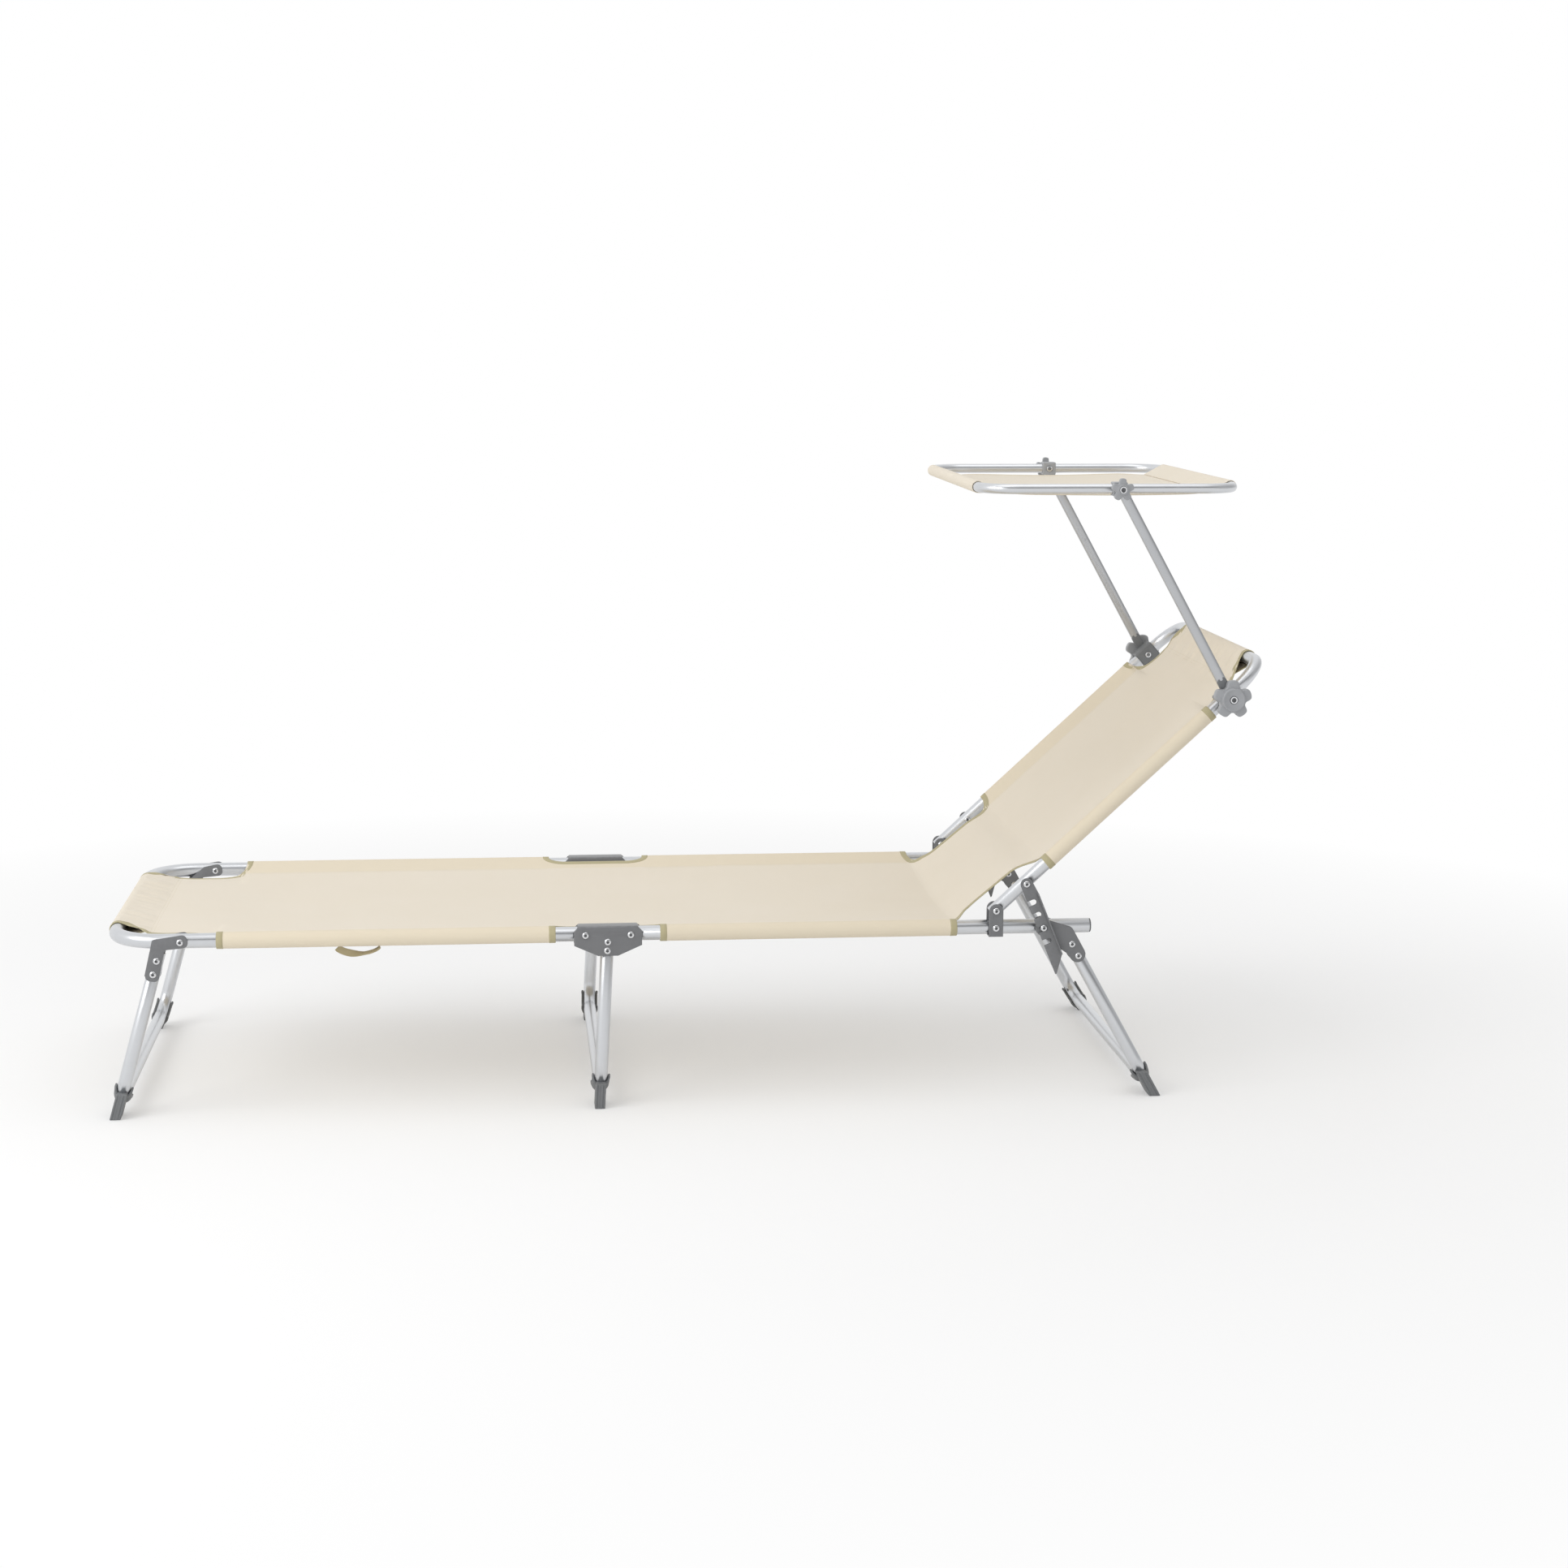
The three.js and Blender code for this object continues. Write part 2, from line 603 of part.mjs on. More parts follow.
// Outer end of a pin that keeps a notched bar on: head, shank through the bar, and a shoulder inside it
function keeperProfile(shank, shoulderTo) {
  const seat = BAR_IN - GAP;
  return [
    ...headProfile(-HALF - BAR_OUT - GAP - HEAD_HIGH, 1, shank),
    [shank, -HALF - seat],
    [HEAD_R, -HALF - seat],
    [HEAD_R, -HALF - shoulderTo],
    [PIN_R, -HALF - shoulderTo],
  ];
}

// The pin in the notch also carries the rear leg on the rail
function notchPin() {
  return turned(NOTCH_PIN_X, RAIL_HEIGHT, [
    ...keeperProfile(NOTCH_PIN_R, SPAN_OUT + GAP),
    ...headProfile(-HALF + SPAN_OUT + GAP + HEAD_HIGH, -1).reverse(),
  ]);
}

function barPivotPin() {
  return turned(BAR_ARM, 0, [
    ...keeperProfile(PIN_R, BACK_R + GAP),
    ...headProfile(-HALF + BACK_R + GAP + HEAD_HIGH, -1).reverse(),
  ]);
}

// A clamping knob with rounded lobes, on a bolt along Y
function starKnob(size) {
  const steps = LOBE_SHARES.length * size.lobes;
  const points = Array.from({ length: steps }, (_, i) => {
    const angle = Math.PI / 2 + (2 * Math.PI * i) / steps;
    const radius = size.valley + (size.lobe - size.valley) * LOBE_SHARES[i % LOBE_SHARES.length];
    return [radius * Math.cos(angle), radius * Math.sin(angle)];
  });
  const inner = -HALF - KNOB_IN;
  const face = inner - size.star;
  const star = plate(polygon(points), face, inner, KNOB_EDGE);
  const hub = turned(0, 0, [
    [0, face - size.rise],
    [size.hub - KNOB_EDGE, face - size.rise],
    [size.hub, face - size.rise + KNOB_EDGE],
    [size.hub, face + size.rise],
    [0, face + size.rise],
  ], TUBE_SIDES);
  return star.add(hub).subtract(bore(0, 0, 2 * KNOB_IN + 2 * size.star));
}

// A bolt along Y, with its head on an inner face and its end flush with a knob
function clampBolt(headFace, size) {
  const end = -HALF - KNOB_IN - size.star - size.rise;
  const head = headFace + GAP;
  return turned(0, 0, [
    [0, end],
    [PIN_R, end],
    [PIN_R, head],
    [HEAD_R, head],
    [HEAD_R, head + HEAD_HIGH],
    [0, head + HEAD_HIGH],
  ]);
}

// Sunshade parts, drawn with the clamp axis at the origin
function shadeFrame() {
  const rearX = SHADE_LENGTH - SHADE_FRONT;
  const loops = [-SHADE_FRONT, rearX].map((endX) =>
    endLoop(-Math.sign(endX) * SHADE_R, endX, 0, SHADE_BEND, SHADE_R, SHADE_HALF, LEG_SIDES),
  );
  const bolts = roundBar(0, 0, PIN_R + GAP, -HALF - POST_IN, HALF + POST_IN);
  return joinAll(loops).subtract(bolts);
}

function shadeClamp() {
  const inner = SHADE_R + GAP;
  const wide = inner + SHADE_CLAMP_WALL;
  const outline = chamfered(0, 0, SHADE_CLAMP_HALF, wide, KNOB_EDGE);
  const body = plate(outline, -HALF - POST_IN + GAP, wide - SHADE_HALF, KNOB_EDGE);
  const start = [-2 * SHADE_CLAMP_HALF, -SHADE_HALF, 0];
  const end = [2 * SHADE_CLAMP_HALF, -SHADE_HALF, 0];
  return cutAll(body, [straightTube(start, end, inner, LEG_SIDES), bore(0, 0, 2 * POST_IN)]);
}

function shadePost() {
  const radius = POST_WIDE / 2;
  const outline = new THREE.Shape();
  outline.absarc(0, 0, radius, Math.PI, 2 * Math.PI, false);
  outline.absarc(0, POST_LENGTH, radius, 0, Math.PI, false);
  const bar = plate(outline, -HALF - POST_OUT, -HALF - POST_IN, EDGE_ROUND);
  return cutAll(bar, [bore(0, 0, 2 * POST_OUT), bore(0, POST_LENGTH, 2 * POST_OUT)]);
}

// A sheet of cloth of even thickness over rows of places, closed round its edge
function sheet(stations, columns, place) {
  const rows = stations.length - 1;
  const positions = [CLOTH / 2, -CLOTH / 2].flatMap((lift) =>
    stations.flatMap((x) =>
      Array.from({ length: columns + 1 }, (_, j) => {
        const [px, py, pz] = place(x, (2 * j) / columns - 1);
        return [px, py, pz + lift];
      }).flat(),
    ),
  );
  const layer = (rows + 1) * (columns + 1);
  const at = (i, j, level) => level * layer + i * (columns + 1) + j;
  const faces = [];
  const quad = (a, b, c, d) => faces.push(a, b, c, a, c, d);
  for (let i = 0; i < rows; i += 1) {
    for (let j = 0; j < columns; j += 1) {
      quad(at(i, j, 0), at(i + 1, j, 0), at(i + 1, j + 1, 0), at(i, j + 1, 0));
      quad(at(i, j, 1), at(i, j + 1, 1), at(i + 1, j + 1, 1), at(i + 1, j, 1));
    }
    quad(at(i, 0, 1), at(i + 1, 0, 1), at(i + 1, 0, 0), at(i, 0, 0));
    quad(at(i + 1, columns, 1), at(i, columns, 1), at(i, columns, 0), at(i + 1, columns, 0));
  }
  for (let j = 0; j < columns; j += 1) {
    quad(at(0, j + 1, 1), at(0, j, 1), at(0, j, 0), at(0, j + 1, 0));
    quad(at(rows, j, 1), at(rows, j + 1, 1), at(rows, j + 1, 0), at(rows, j, 0));
  }
  const geometry = new THREE.BufferGeometry()
    .setAttribute("position", new THREE.Float32BufferAttribute(positions, 3))
    .setIndex(faces);
  return solid(geometry);
}

// A sleeve of cloth round a straight tube
function sleeve(from, to, radius, sides = TUBE_SIDES) {
  const ring = circle(radius + SLEEVE_GAP + SLEEVE_WALL, sides);
  ring.holes.push(circle(radius + SLEEVE_GAP, sides));
  const geometry = new THREE.ExtrudeGeometry(ring, {
    steps: 1,
    bevelEnabled: false,
    extrudePath: new BentPath(bentStations([from, to], 0)),
  });
  return solid(geometry);
}

function sideSleeves([from, to], z, radius) {
  return [-HALF, HALF].map((y) => sleeve([from, y, z], [to, y, z], radius));
}

function endSleeve(x, z, radius, half, sides = TUBE_SIDES) {
  return sleeve([x, -half, z], [x, half, z], radius, sides);
}

const ramp = (value, from, to) => THREE.MathUtils.smoothstep(value, from, to);
const clothLift = (radius) => radius + SLEEVE_GAP + SLEEVE_WALL / 2;

// Half width of a sling: out to the tubes along its sleeves, drawn in at its cut-outs
function slingHalf(x, [from, to]) {
  const inside = Math.min(ramp(x, from - CUTOUT_RUN, from), 1 - ramp(x, to, to + CUTOUT_RUN));
  return EDGE_HALF + (HALF - SLEEVE_TUCK - EDGE_HALF) * inside;
}

// Rows of a sling: even ones, and those that draw the curves of its cut-outs
function slingStations(from, to, [start, end], rows) {
  const least = CUTOUT_RUN / 4;
  const curves = [start - CUTOUT_RUN, start - CUTOUT_RUN / 2, start, end, end + CUTOUT_RUN / 2, end + CUTOUT_RUN];
  const near = curves.filter((x) => x > from + least && x < to - least);
  const even = Array.from({ length: rows + 1 }, (_, i) => from + ((to - from) * i) / rows);
  const clear = even.filter((x) => near.every((other) => Math.abs(other - x) > least));
  return [...clear, ...near].sort((a, b) => a - b);
}

// A sling on tubes along X at height z: it leaves them level, sags between them, and is taut at an end tube
function slingSheet({ from, to, sleeves, z, radius, endTube, rows = SHEET_ROWS }) {
  const stations = slingStations(from, to, sleeves, rows);
  return sheet(stations, SHEET_COLUMNS, (x, side) => {
    const y = slingHalf(x, sleeves) * side;
    const across = 1 - ramp(Math.abs(y), 0, HALF - 2 * radius);
    const along = endTube === undefined ? 1 : ramp(Math.abs(x - endTube), radius, SAG_RUN);
    return [x, y, z + clothLift(radius) - SLING_SAG * across * along];
  });
}

// The corners of a sheet are drawn in to meet the end tube's shorter sleeve
function endCorners(x, z, radius, way) {
  const reach = 2 * HALF;
  return [-1, 1].map((side) => {
    const shape = new THREE.Shape();
    shape.moveTo(x - way * radius, side * reach);
    shape.lineTo(x - way * radius, side * END_SLEEVE_HALF);
    shape.lineTo(x + way * radius, side * END_SLEEVE_HALF);
    shape.quadraticCurveTo(
      x + way * CORNER_RUN,
      side * (END_SLEEVE_HALF + radius),
      x + way * 2 * CORNER_RUN,
      side * (HALF + CORNER_RUN / 2),
    );
    shape.lineTo(x + way * 2 * CORNER_RUN, side * reach);
    const depth = 2 * SLING_SAG;
    const geometry = new THREE.ExtrudeGeometry(shape, { depth, bevelEnabled: false, curveSegments: 5 });
    return solid(geometry.translate(0, 0, z + clothLift(radius) - depth / 2));
  });
}

function endedSling(sling, way) {
  const { endTube, z, radius, sleeves } = sling;
  const trimmed = cutAll(slingSheet(sling), endCorners(endTube, z, radius, way));
  const round = endSleeve(endTube, z, radius, END_SLEEVE_HALF);
  return joinAll([trimmed, round, ...sideSleeves(sleeves, z, radius)]);
}

function footSling() {
  const onFrame = { sleeves: SLEEVES.foot, z: RAIL_HEIGHT, radius: RAIL_R, endTube: RAIL_R };
  return endedSling({ from: RAIL_R, to: FOLD_X.foot - GAP / 2, ...onFrame }, 1);
}

function middleSling() {
  const from = FOLD_X.foot + GAP / 2;
  const to = FOLD_X.seat - GAP / 2;
  return slingSheet({ from, to, sleeves: SLEEVES.seat, z: RAIL_HEIGHT, radius: RAIL_R, rows: 2 });
}

function seatSling() {
  const place = { sleeves: SLEEVES.seat, z: RAIL_HEIGHT, radius: RAIL_R };
  const flat = slingSheet({ from: FOLD_X.seat + GAP / 2, to: HIP_X, ...place });
  return joinAll([flat, ...sideSleeves(SLEEVES.seat, RAIL_HEIGHT, RAIL_R)]);
}

// Where the back cloth starts along the back, so that it meets the end of the seat cloth
function backSlingStart() {
  const rise = clothLift(BACK_R) + CLOTH / 2;
  const ahead = HIP_X + GAP - BACK_PIVOT_X + rise * Math.sin(deg(BACK_ANGLE));
  return ahead / Math.cos(deg(BACK_ANGLE));
}

function backSling() {
  const onFrame = { sleeves: SLEEVES.back, z: 0, radius: BACK_R, endTube: BACK_LENGTH };
  return endedSling({ from: backSlingStart(), to: BACK_LENGTH, ...onFrame }, -1);
}

function shadeCover() {
  const frontX = -SHADE_FRONT;
  const rearX = SHADE_LENGTH - SHADE_FRONT;
  const stations = Array.from({ length: SHEET_ROWS + 1 }, (_, i) => frontX + (SHADE_LENGTH * i) / SHEET_ROWS);
  const flat = sheet(stations, SHEET_COLUMNS, (x, side) => {
    const fromEnd = Math.min(x - frontX, rearX - x);
    const half = SHADE_SLEEVE_HALF + (SHADE_CLOTH_HALF - SHADE_SLEEVE_HALF) * ramp(fromEnd, SHADE_R, SHADE_CURVE);
    const across = 1 - side * side;
    const drop = SHADE_SAG * across * ramp(fromEnd, SHADE_R, SHADE_LENGTH / 2);
    return [x, half * side, clothLift(SHADE_R) - drop];
  });
  const sleeves = [frontX, rearX].map((x) => endSleeve(x, 0, SHADE_R, SHADE_SLEEVE_HALF, LEG_SIDES));
  return joinAll([flat, ...sleeves]);
}

// A strap in a shallow loop, sewn to the foot sleeve at both ends
function carryHandle() {
  const top = RAIL_HEIGHT - RAIL_R - SLEEVE_GAP - SLEEVE_WALL - GAP;
  const low = RAIL_HEIGHT - HANDLE.drop;
  const middle = (HANDLE.from + HANDLE.to) / 2;
  const slope = HANDLE.thick * 2;
  const shape = new THREE.Shape();
  shape.moveTo(HANDLE.from, top);
  shape.quadraticCurveTo(middle, 2 * low - top, HANDLE.to, top);
  shape.lineTo(HANDLE.to - slope, top);
  shape.quadraticCurveTo(middle, 2 * (low + HANDLE.thick) - top, HANDLE.from + slope, top);
  return plate(shape, -HALF - HANDLE.width / 2, -HALF + HANDLE.width / 2);
}

function groupAt(x, z, turn = 0) {
  const group = new THREE.Group();
  group.position.set(x, 0, z);
  group.rotation.y = turn;
  return group;
}

// Seat with the middle bracket, the foot section and their legs
function base() {
  const group = new THREE.Group();
  pair("seat_rail", seatRail(), aluminium, group);
  pair("seat_rail_plug", railPlug(), rubber, group);
  pair("back_clamp", backClamp(), darkSteel, group);
  pair("back_pivot_pin", pivotPin(BACK_PIVOT_X, BACK_PIVOT_Z), rivetSteel, group);
  pair("notch_pin", notchPin(), rivetSteel, group);
  mesh("seat_sling", seatSling(), canvas, group);
  pair("middle_bracket", middleBracket(), darkSteel, group);
  for (const end of ["foot", "seat"])
    pair(end + "_fold_pin", pivotPin(FOLD_X[end], RAIL_HEIGHT), rivetSteel, group);
  mesh("middle_sling", middleSling(), canvas, group);
  mesh("foot_frame", footFrame(), aluminium, group);
  mesh("foot_sling", footSling(), canvas, group);
  mesh("carry_handle", carryHandle(), canvas, group);
  pair("foot_leg_pin", pivotPin(FOOT_LEG_X, RAIL_HEIGHT), rivetSteel, group);
  group.add(middleLeg());
  group.add(foldingLeg("foot", FOOT_LEG_X, -1));
  group.add(foldingLeg("rear", NOTCH_PIN_X, 1));
  return group;
}

function back() {
  const group = groupAt(BACK_PIVOT_X, BACK_PIVOT_Z, -deg(BACK_ANGLE));
  mesh("back_frame", backFrame(), aluminium, group);
  mesh("back_sling", backSling(), canvas, group);
  pair("shade_bracket", shadeBracket(), darkSteel, group);
  pair("notch_bar_pin", barPivotPin(), rivetSteel, group);
  return group;
}

function notchBars() {
  const group = groupAt(barPivot.x, barPivot.y, -barLean);
  pair("notch_bar", notchBar(), darkSteel, group);
  return group;
}

const lowerKnobX = BACK_PIVOT_X + MOUNT_AT * Math.cos(deg(BACK_ANGLE));
const lowerKnobZ = BACK_PIVOT_Z + MOUNT_AT * Math.sin(deg(BACK_ANGLE));

// Shade posts on the back's brackets, with their bolts and lower knobs
function posts() {
  const group = groupAt(lowerKnobX, lowerKnobZ);
  const leaning = groupAt(0, 0, deg(90 - POST_ANGLE));
  pair("shade_post", shadePost(), aluminium, leaning);
  group.add(leaning);
  pair("lower_bolt", clampBolt(MOUNT_OUT - HALF, KNOB), rivetSteel, group);
  pair("lower_knob", starKnob(KNOB), greyPlastic, group);
  return group;
}

function shade() {
  const x = lowerKnobX + POST_LENGTH * Math.cos(deg(POST_ANGLE));
  const z = lowerKnobZ + POST_LENGTH * Math.sin(deg(POST_ANGLE));
  const group = groupAt(x, z);
  const clampInner = SHADE_R + GAP + SHADE_CLAMP_WALL - SHADE_HALF;
  mesh("shade_frame", shadeFrame(), aluminium, group);
  mesh("shade_cover", shadeCover(), canvas, group);
  pair("shade_clamp", shadeClamp(), darkSteel, group);
  pair("upper_bolt", clampBolt(clampInner, SMALL_KNOB), rivetSteel, group);
  pair("upper_knob", starKnob(SMALL_KNOB), greyPlastic, group);
  return group;
}

// The whole lounger, centred over its origin on the ground
const lounger = new THREE.Group();
const built = new THREE.Group();
built.add(base(), back(), notchBars(), posts(), shade());
lounger.add(built);
lounger.updateMatrixWorld(true);
built.position.x = -new THREE.Box3().setFromObject(built, true).getCenter(new THREE.Vector3()).x;

export default lounger;
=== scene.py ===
"""Looks of a folding sun lounger with a tilting sunshade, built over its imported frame."""

import json
import math
from itertools import accumulate

import bmesh
import bpy
import numpy as np
from bpy.props import FloatProperty, FloatVectorProperty, IntProperty, PointerProperty
from bpy.types import Operator, Panel, PropertyGroup
from mathutils import Matrix, Vector, noise

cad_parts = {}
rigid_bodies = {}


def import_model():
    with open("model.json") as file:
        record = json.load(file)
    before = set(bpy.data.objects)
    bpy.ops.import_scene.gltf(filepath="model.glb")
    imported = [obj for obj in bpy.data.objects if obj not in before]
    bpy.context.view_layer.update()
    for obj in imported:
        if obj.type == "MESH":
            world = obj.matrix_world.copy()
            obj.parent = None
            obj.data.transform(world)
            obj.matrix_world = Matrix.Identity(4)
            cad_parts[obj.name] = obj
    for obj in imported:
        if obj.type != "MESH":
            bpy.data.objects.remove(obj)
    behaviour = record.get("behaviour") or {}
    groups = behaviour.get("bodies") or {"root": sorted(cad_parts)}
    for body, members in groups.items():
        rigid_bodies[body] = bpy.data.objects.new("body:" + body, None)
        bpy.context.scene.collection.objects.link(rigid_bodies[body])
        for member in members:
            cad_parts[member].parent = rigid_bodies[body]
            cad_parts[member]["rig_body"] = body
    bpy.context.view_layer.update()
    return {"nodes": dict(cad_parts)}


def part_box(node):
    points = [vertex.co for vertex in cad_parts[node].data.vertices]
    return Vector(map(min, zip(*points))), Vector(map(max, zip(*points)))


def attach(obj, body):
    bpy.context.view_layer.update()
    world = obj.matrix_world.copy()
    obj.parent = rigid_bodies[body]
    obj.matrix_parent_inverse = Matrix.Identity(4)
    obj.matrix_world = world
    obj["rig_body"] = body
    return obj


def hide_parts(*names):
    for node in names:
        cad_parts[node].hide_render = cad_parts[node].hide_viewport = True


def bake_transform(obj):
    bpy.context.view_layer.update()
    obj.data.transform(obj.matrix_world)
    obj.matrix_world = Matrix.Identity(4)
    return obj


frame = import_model()

bl_info = {
    "name": "Folding sun lounger",
    "version": (1, 0, 0),
    "blender": (4, 5, 0),
    "location": "View3D > Sidebar > Lounger",
    "description": "Dresses the frame of a folding sun lounger with its cloth, tubes and fittings",
    "category": "Object",
}


def middle(node):
    low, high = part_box(node)
    return (low + high) / 2


def linear(code):
    """A colour written as six hex digits, as linear red, green and blue."""
    shares = [int(code[i : i + 2], 16) / 255 for i in (0, 2, 4)]
    return tuple(c / 12.92 if c < 0.04045 else ((c + 0.055) / 1.055) ** 2.4 for c in shares)


def length(label, description, value):
    return FloatProperty(
        name=label, description=description, default=value, min=0, unit="LENGTH", precision=4
    )


def colour(label, description, code):
    return FloatVectorProperty(
        name=label, description=description, default=linear(code), min=0, max=1, size=3, subtype="COLOR"
    )


# Axes in the side view that the frame gives
BACK_PIVOT = middle("back_pivot_pin_left")
FOOT_FOLD = middle("foot_fold_pin_left")
SEAT_FOLD = middle("seat_fold_pin_left")
FOOT_LEG = middle("foot_leg_pin_left")
NOTCH_PIN = middle("notch_pin_left")
BAR_PIVOT = middle("notch_bar_pin_left")
LOWER_KNOB = middle("lower_bolt_left")
UPPER_KNOB = middle("upper_bolt_left")
HALF = abs(FOOT_LEG.y)  # centre line to the plane of a side frame
RAIL_Z = FOOT_LEG.z
BACK_LEAN = math.atan2(BAR_PIVOT.z - BACK_PIVOT.z, BAR_PIVOT.x - BACK_PIVOT.x)
MIDDLE_X = (FOOT_FOLD.x + SEAT_FOLD.x) / 2
FOOT_X = FOOT_LEG.x - 0.113  # outer side of the foot tube
SIDES = {"left": -1, "right": 1}


class LoungerSizes(PropertyGroup):
    """Sizes that may be changed without moving a joint."""

    rail_radius: length("Rail radius", "Outer radius of the foot frame and the seat rails", 0.011)
    back_radius: length("Back tube radius", "Outer radius of the back frame", 0.010)
    leg_radius: length("Leg tube radius", "Outer radius of the leg frames", 0.010)
    shade_radius: length("Shade tube radius", "Outer radius of the shade frame", 0.0075)
    tube_wall: length("Tube wall", "Wall thickness seen at an open tube end", 0.0012)
    frame_bend: length("Foot frame bend", "Radius of the foot frame's corners at the tube axis", 0.076)
    back_bend: length("Back frame bend", "Radius of the back frame's corners at the tube axis", 0.054)
    leg_bend: length("Leg bend", "Radius of the leg frames' corners at the tube axis", 0.038)
    shade_bend: length("Shade bend", "Radius of the shade frame's corners at the tube axis", 0.055)
    back_length: length("Back length", "Back pivot to the axis of the head tube", 0.550)
    shade_length: length("Shade length", "Between the axes of the shade's end tubes", 0.388)
    shade_front: length("Shade front", "Shade clamp to the axis of the front end tube", 0.204)
    shade_half: length("Shade half width", "Centre line to the axis of a shade side tube", 0.2827)
    cloth: length("Cloth", "Thickness of the sling and shade cloth", 0.0011)
    sag: length("Sling sag", "How far the sling hangs below its tubes in the middle", 0.011)
    binding: length("Binding", "Width of the tape sewn round a cut edge", 0.0095)
    stitch: length("Stitch", "Length of one stitch with its gap", 0.0034)
    bevel: length("Bevel", "Rounding of sheet metal edges", 0.0005)
    tube_sides: IntProperty(
        name="Tube sides", description="Facets round a tube", default=32, min=8, max=64, subtype="UNSIGNED"
    )


class LoungerColours(PropertyGroup):
    """Colours of the finishes."""

    aluminium: colour("Aluminium", "Satin tubes and posts", "D3D5D8")
    steel: colour("Painted steel", "Brackets, clamps and notched bars", "707173")
    rivet: colour("Rivets", "Rivet heads and bolts", "DCDDDF")
    plastic: colour("Knob plastic", "Star knobs", "9FA1A4")
    foot: colour("Foot plastic", "Feet, plugs and post shoes", "727476")
    cloth: colour("Cloth", "Sling and shade", "E8DFD0")
    cloth_shade: colour("Cloth shade", "Deeper tone of the yarn", "E3D9C6")
    binding: colour("Binding", "Tape round the cut edges", "BDB491")
    thread: colour("Thread", "Stitches", "D3C6A8")
    webbing: colour("Webbing", "Carry handle", "B3A683")


# Shader building


class Wire:
    """An output socket that can be used in sums like a number."""

    def __init__(self, finish, socket):
        self.finish = finish
        self.socket = socket

    def _math(self, operation, *values):
        return self.finish.node("ShaderNodeMath", {"operation": operation}, dict(enumerate(values)))

    def __add__(self, other):
        return self._math("ADD", self, other)

    __radd__ = __add__

    def __sub__(self, other):
        return self._math("SUBTRACT", self, other)

    def __rsub__(self, other):
        return self._math("SUBTRACT", other, self)

    def __mul__(self, other):
        return self._math("MULTIPLY", self, other)

    __rmul__ = __mul__

    def __pow__(self, other):
        return self._math("POWER", self, other)

    def __abs__(self):
        return self._math("ABSOLUTE", self)

    def sine(self):
        return self._math("SINE", self)


class Finish:
    """A material's nodes, added one call at a time."""

    def __init__(self, name=None, tree=None, **constants):
        if tree is None:
            self.material = bpy.data.materials.new(name)
            self.material.use_nodes = True
            tree = self.material.node_tree
            self.shader = tree.nodes["Principled BSDF"]
            for label, value in constants.items():
                self.shader.inputs[label.replace("_", " ")].default_value = value
        self.tree = tree

    def feed(self, socket, value):
        if isinstance(value, Wire):
            self.tree.links.new(value.socket, socket)
        else:
            socket.default_value = value

    def node(self, kind, settings=None, inputs=None, output=0):
        made = self.tree.nodes.new(kind)
        for key, value in (settings or {}).items():
            setattr(made, key, value)
        for key, value in (inputs or {}).items():
            self.feed(made.inputs[key], value)
        return Wire(self, made.outputs[output])

    def surface(self, **sockets):
        for label, value in sockets.items():
            self.feed(self.shader.inputs[label.replace("_", " ")], value)
        return self.material

    def object_place(self):
        return self.node("ShaderNodeTexCoord", output="Object")

    def cut_place(self):
        """Place on the cloth or tube as it was cut, in metres."""
        return self.node("ShaderNodeUVMap", {"uv_map": "cut"})

    def stretched(self, place, scale):
        return self.node("ShaderNodeVectorMath", {"operation": "MULTIPLY"}, {0: place, 1: scale})

    def noise(self, place, scale, detail=3.0, roughness=0.5):
        return self.node(
            "ShaderNodeTexNoise",
            inputs={"Vector": place, "Scale": scale, "Detail": detail, "Roughness": roughness},
        )

    def part(self, place, axis):
        return self.node("ShaderNodeSeparateXYZ", inputs={0: place}, output=axis)

    def between(self, value, low, high, to_low=0.0, to_high=1.0):
        return self.node("ShaderNodeMapRange", inputs={0: value, 1: low, 2: high, 3: to_low, 4: to_high})

    def tint(self, first, second, share):
        first, second = ((*c, 1) if isinstance(c, tuple) else c for c in (first, second))
        return self.node("ShaderNodeMix", {"data_type": "RGBA"}, {0: share, 6: first, 7: second}, output=2)

    def bump(self, height, distance, strength=1.0, under=None):
        inputs = {"Height": height, "Distance": distance, "Strength": strength}
        if under is not None:
            inputs["Normal"] = under
        return self.node("ShaderNodeBump", inputs=inputs)


def shaded(rgb, share):
    return tuple(min(1.0, c * share) for c in rgb)


def satin_aluminium(name, rgb, drawn):
    """Anodised aluminium with handling marks and a soft gloss, and with fine lines where it was drawn."""
    finish = Finish(name, Metallic=1.0)
    place = finish.cut_place() if drawn else finish.object_place()
    grain = finish.noise(finish.stretched(place, (2600, 22, 1) if drawn else (800, 800, 800)), 1.0, 2.0)
    marks = finish.noise(place, 26.0, 4.0, 0.6)
    scuffs = finish.between(finish.noise(finish.stretched(place, (90, 30, 60)), 1.0, 5.0, 0.7), 0.62, 0.74)
    base = finish.tint(shaded(rgb, 0.93), shaded(rgb, 1.05), marks)
    return finish.surface(
        Base_Color=finish.tint(base, shaded(rgb, 0.86), scuffs * 0.35),
        Roughness=0.25 + grain * 0.09 + marks * 0.06 + scuffs * 0.12,
        Normal=finish.bump(grain, 0.00003, 0.5),
    )


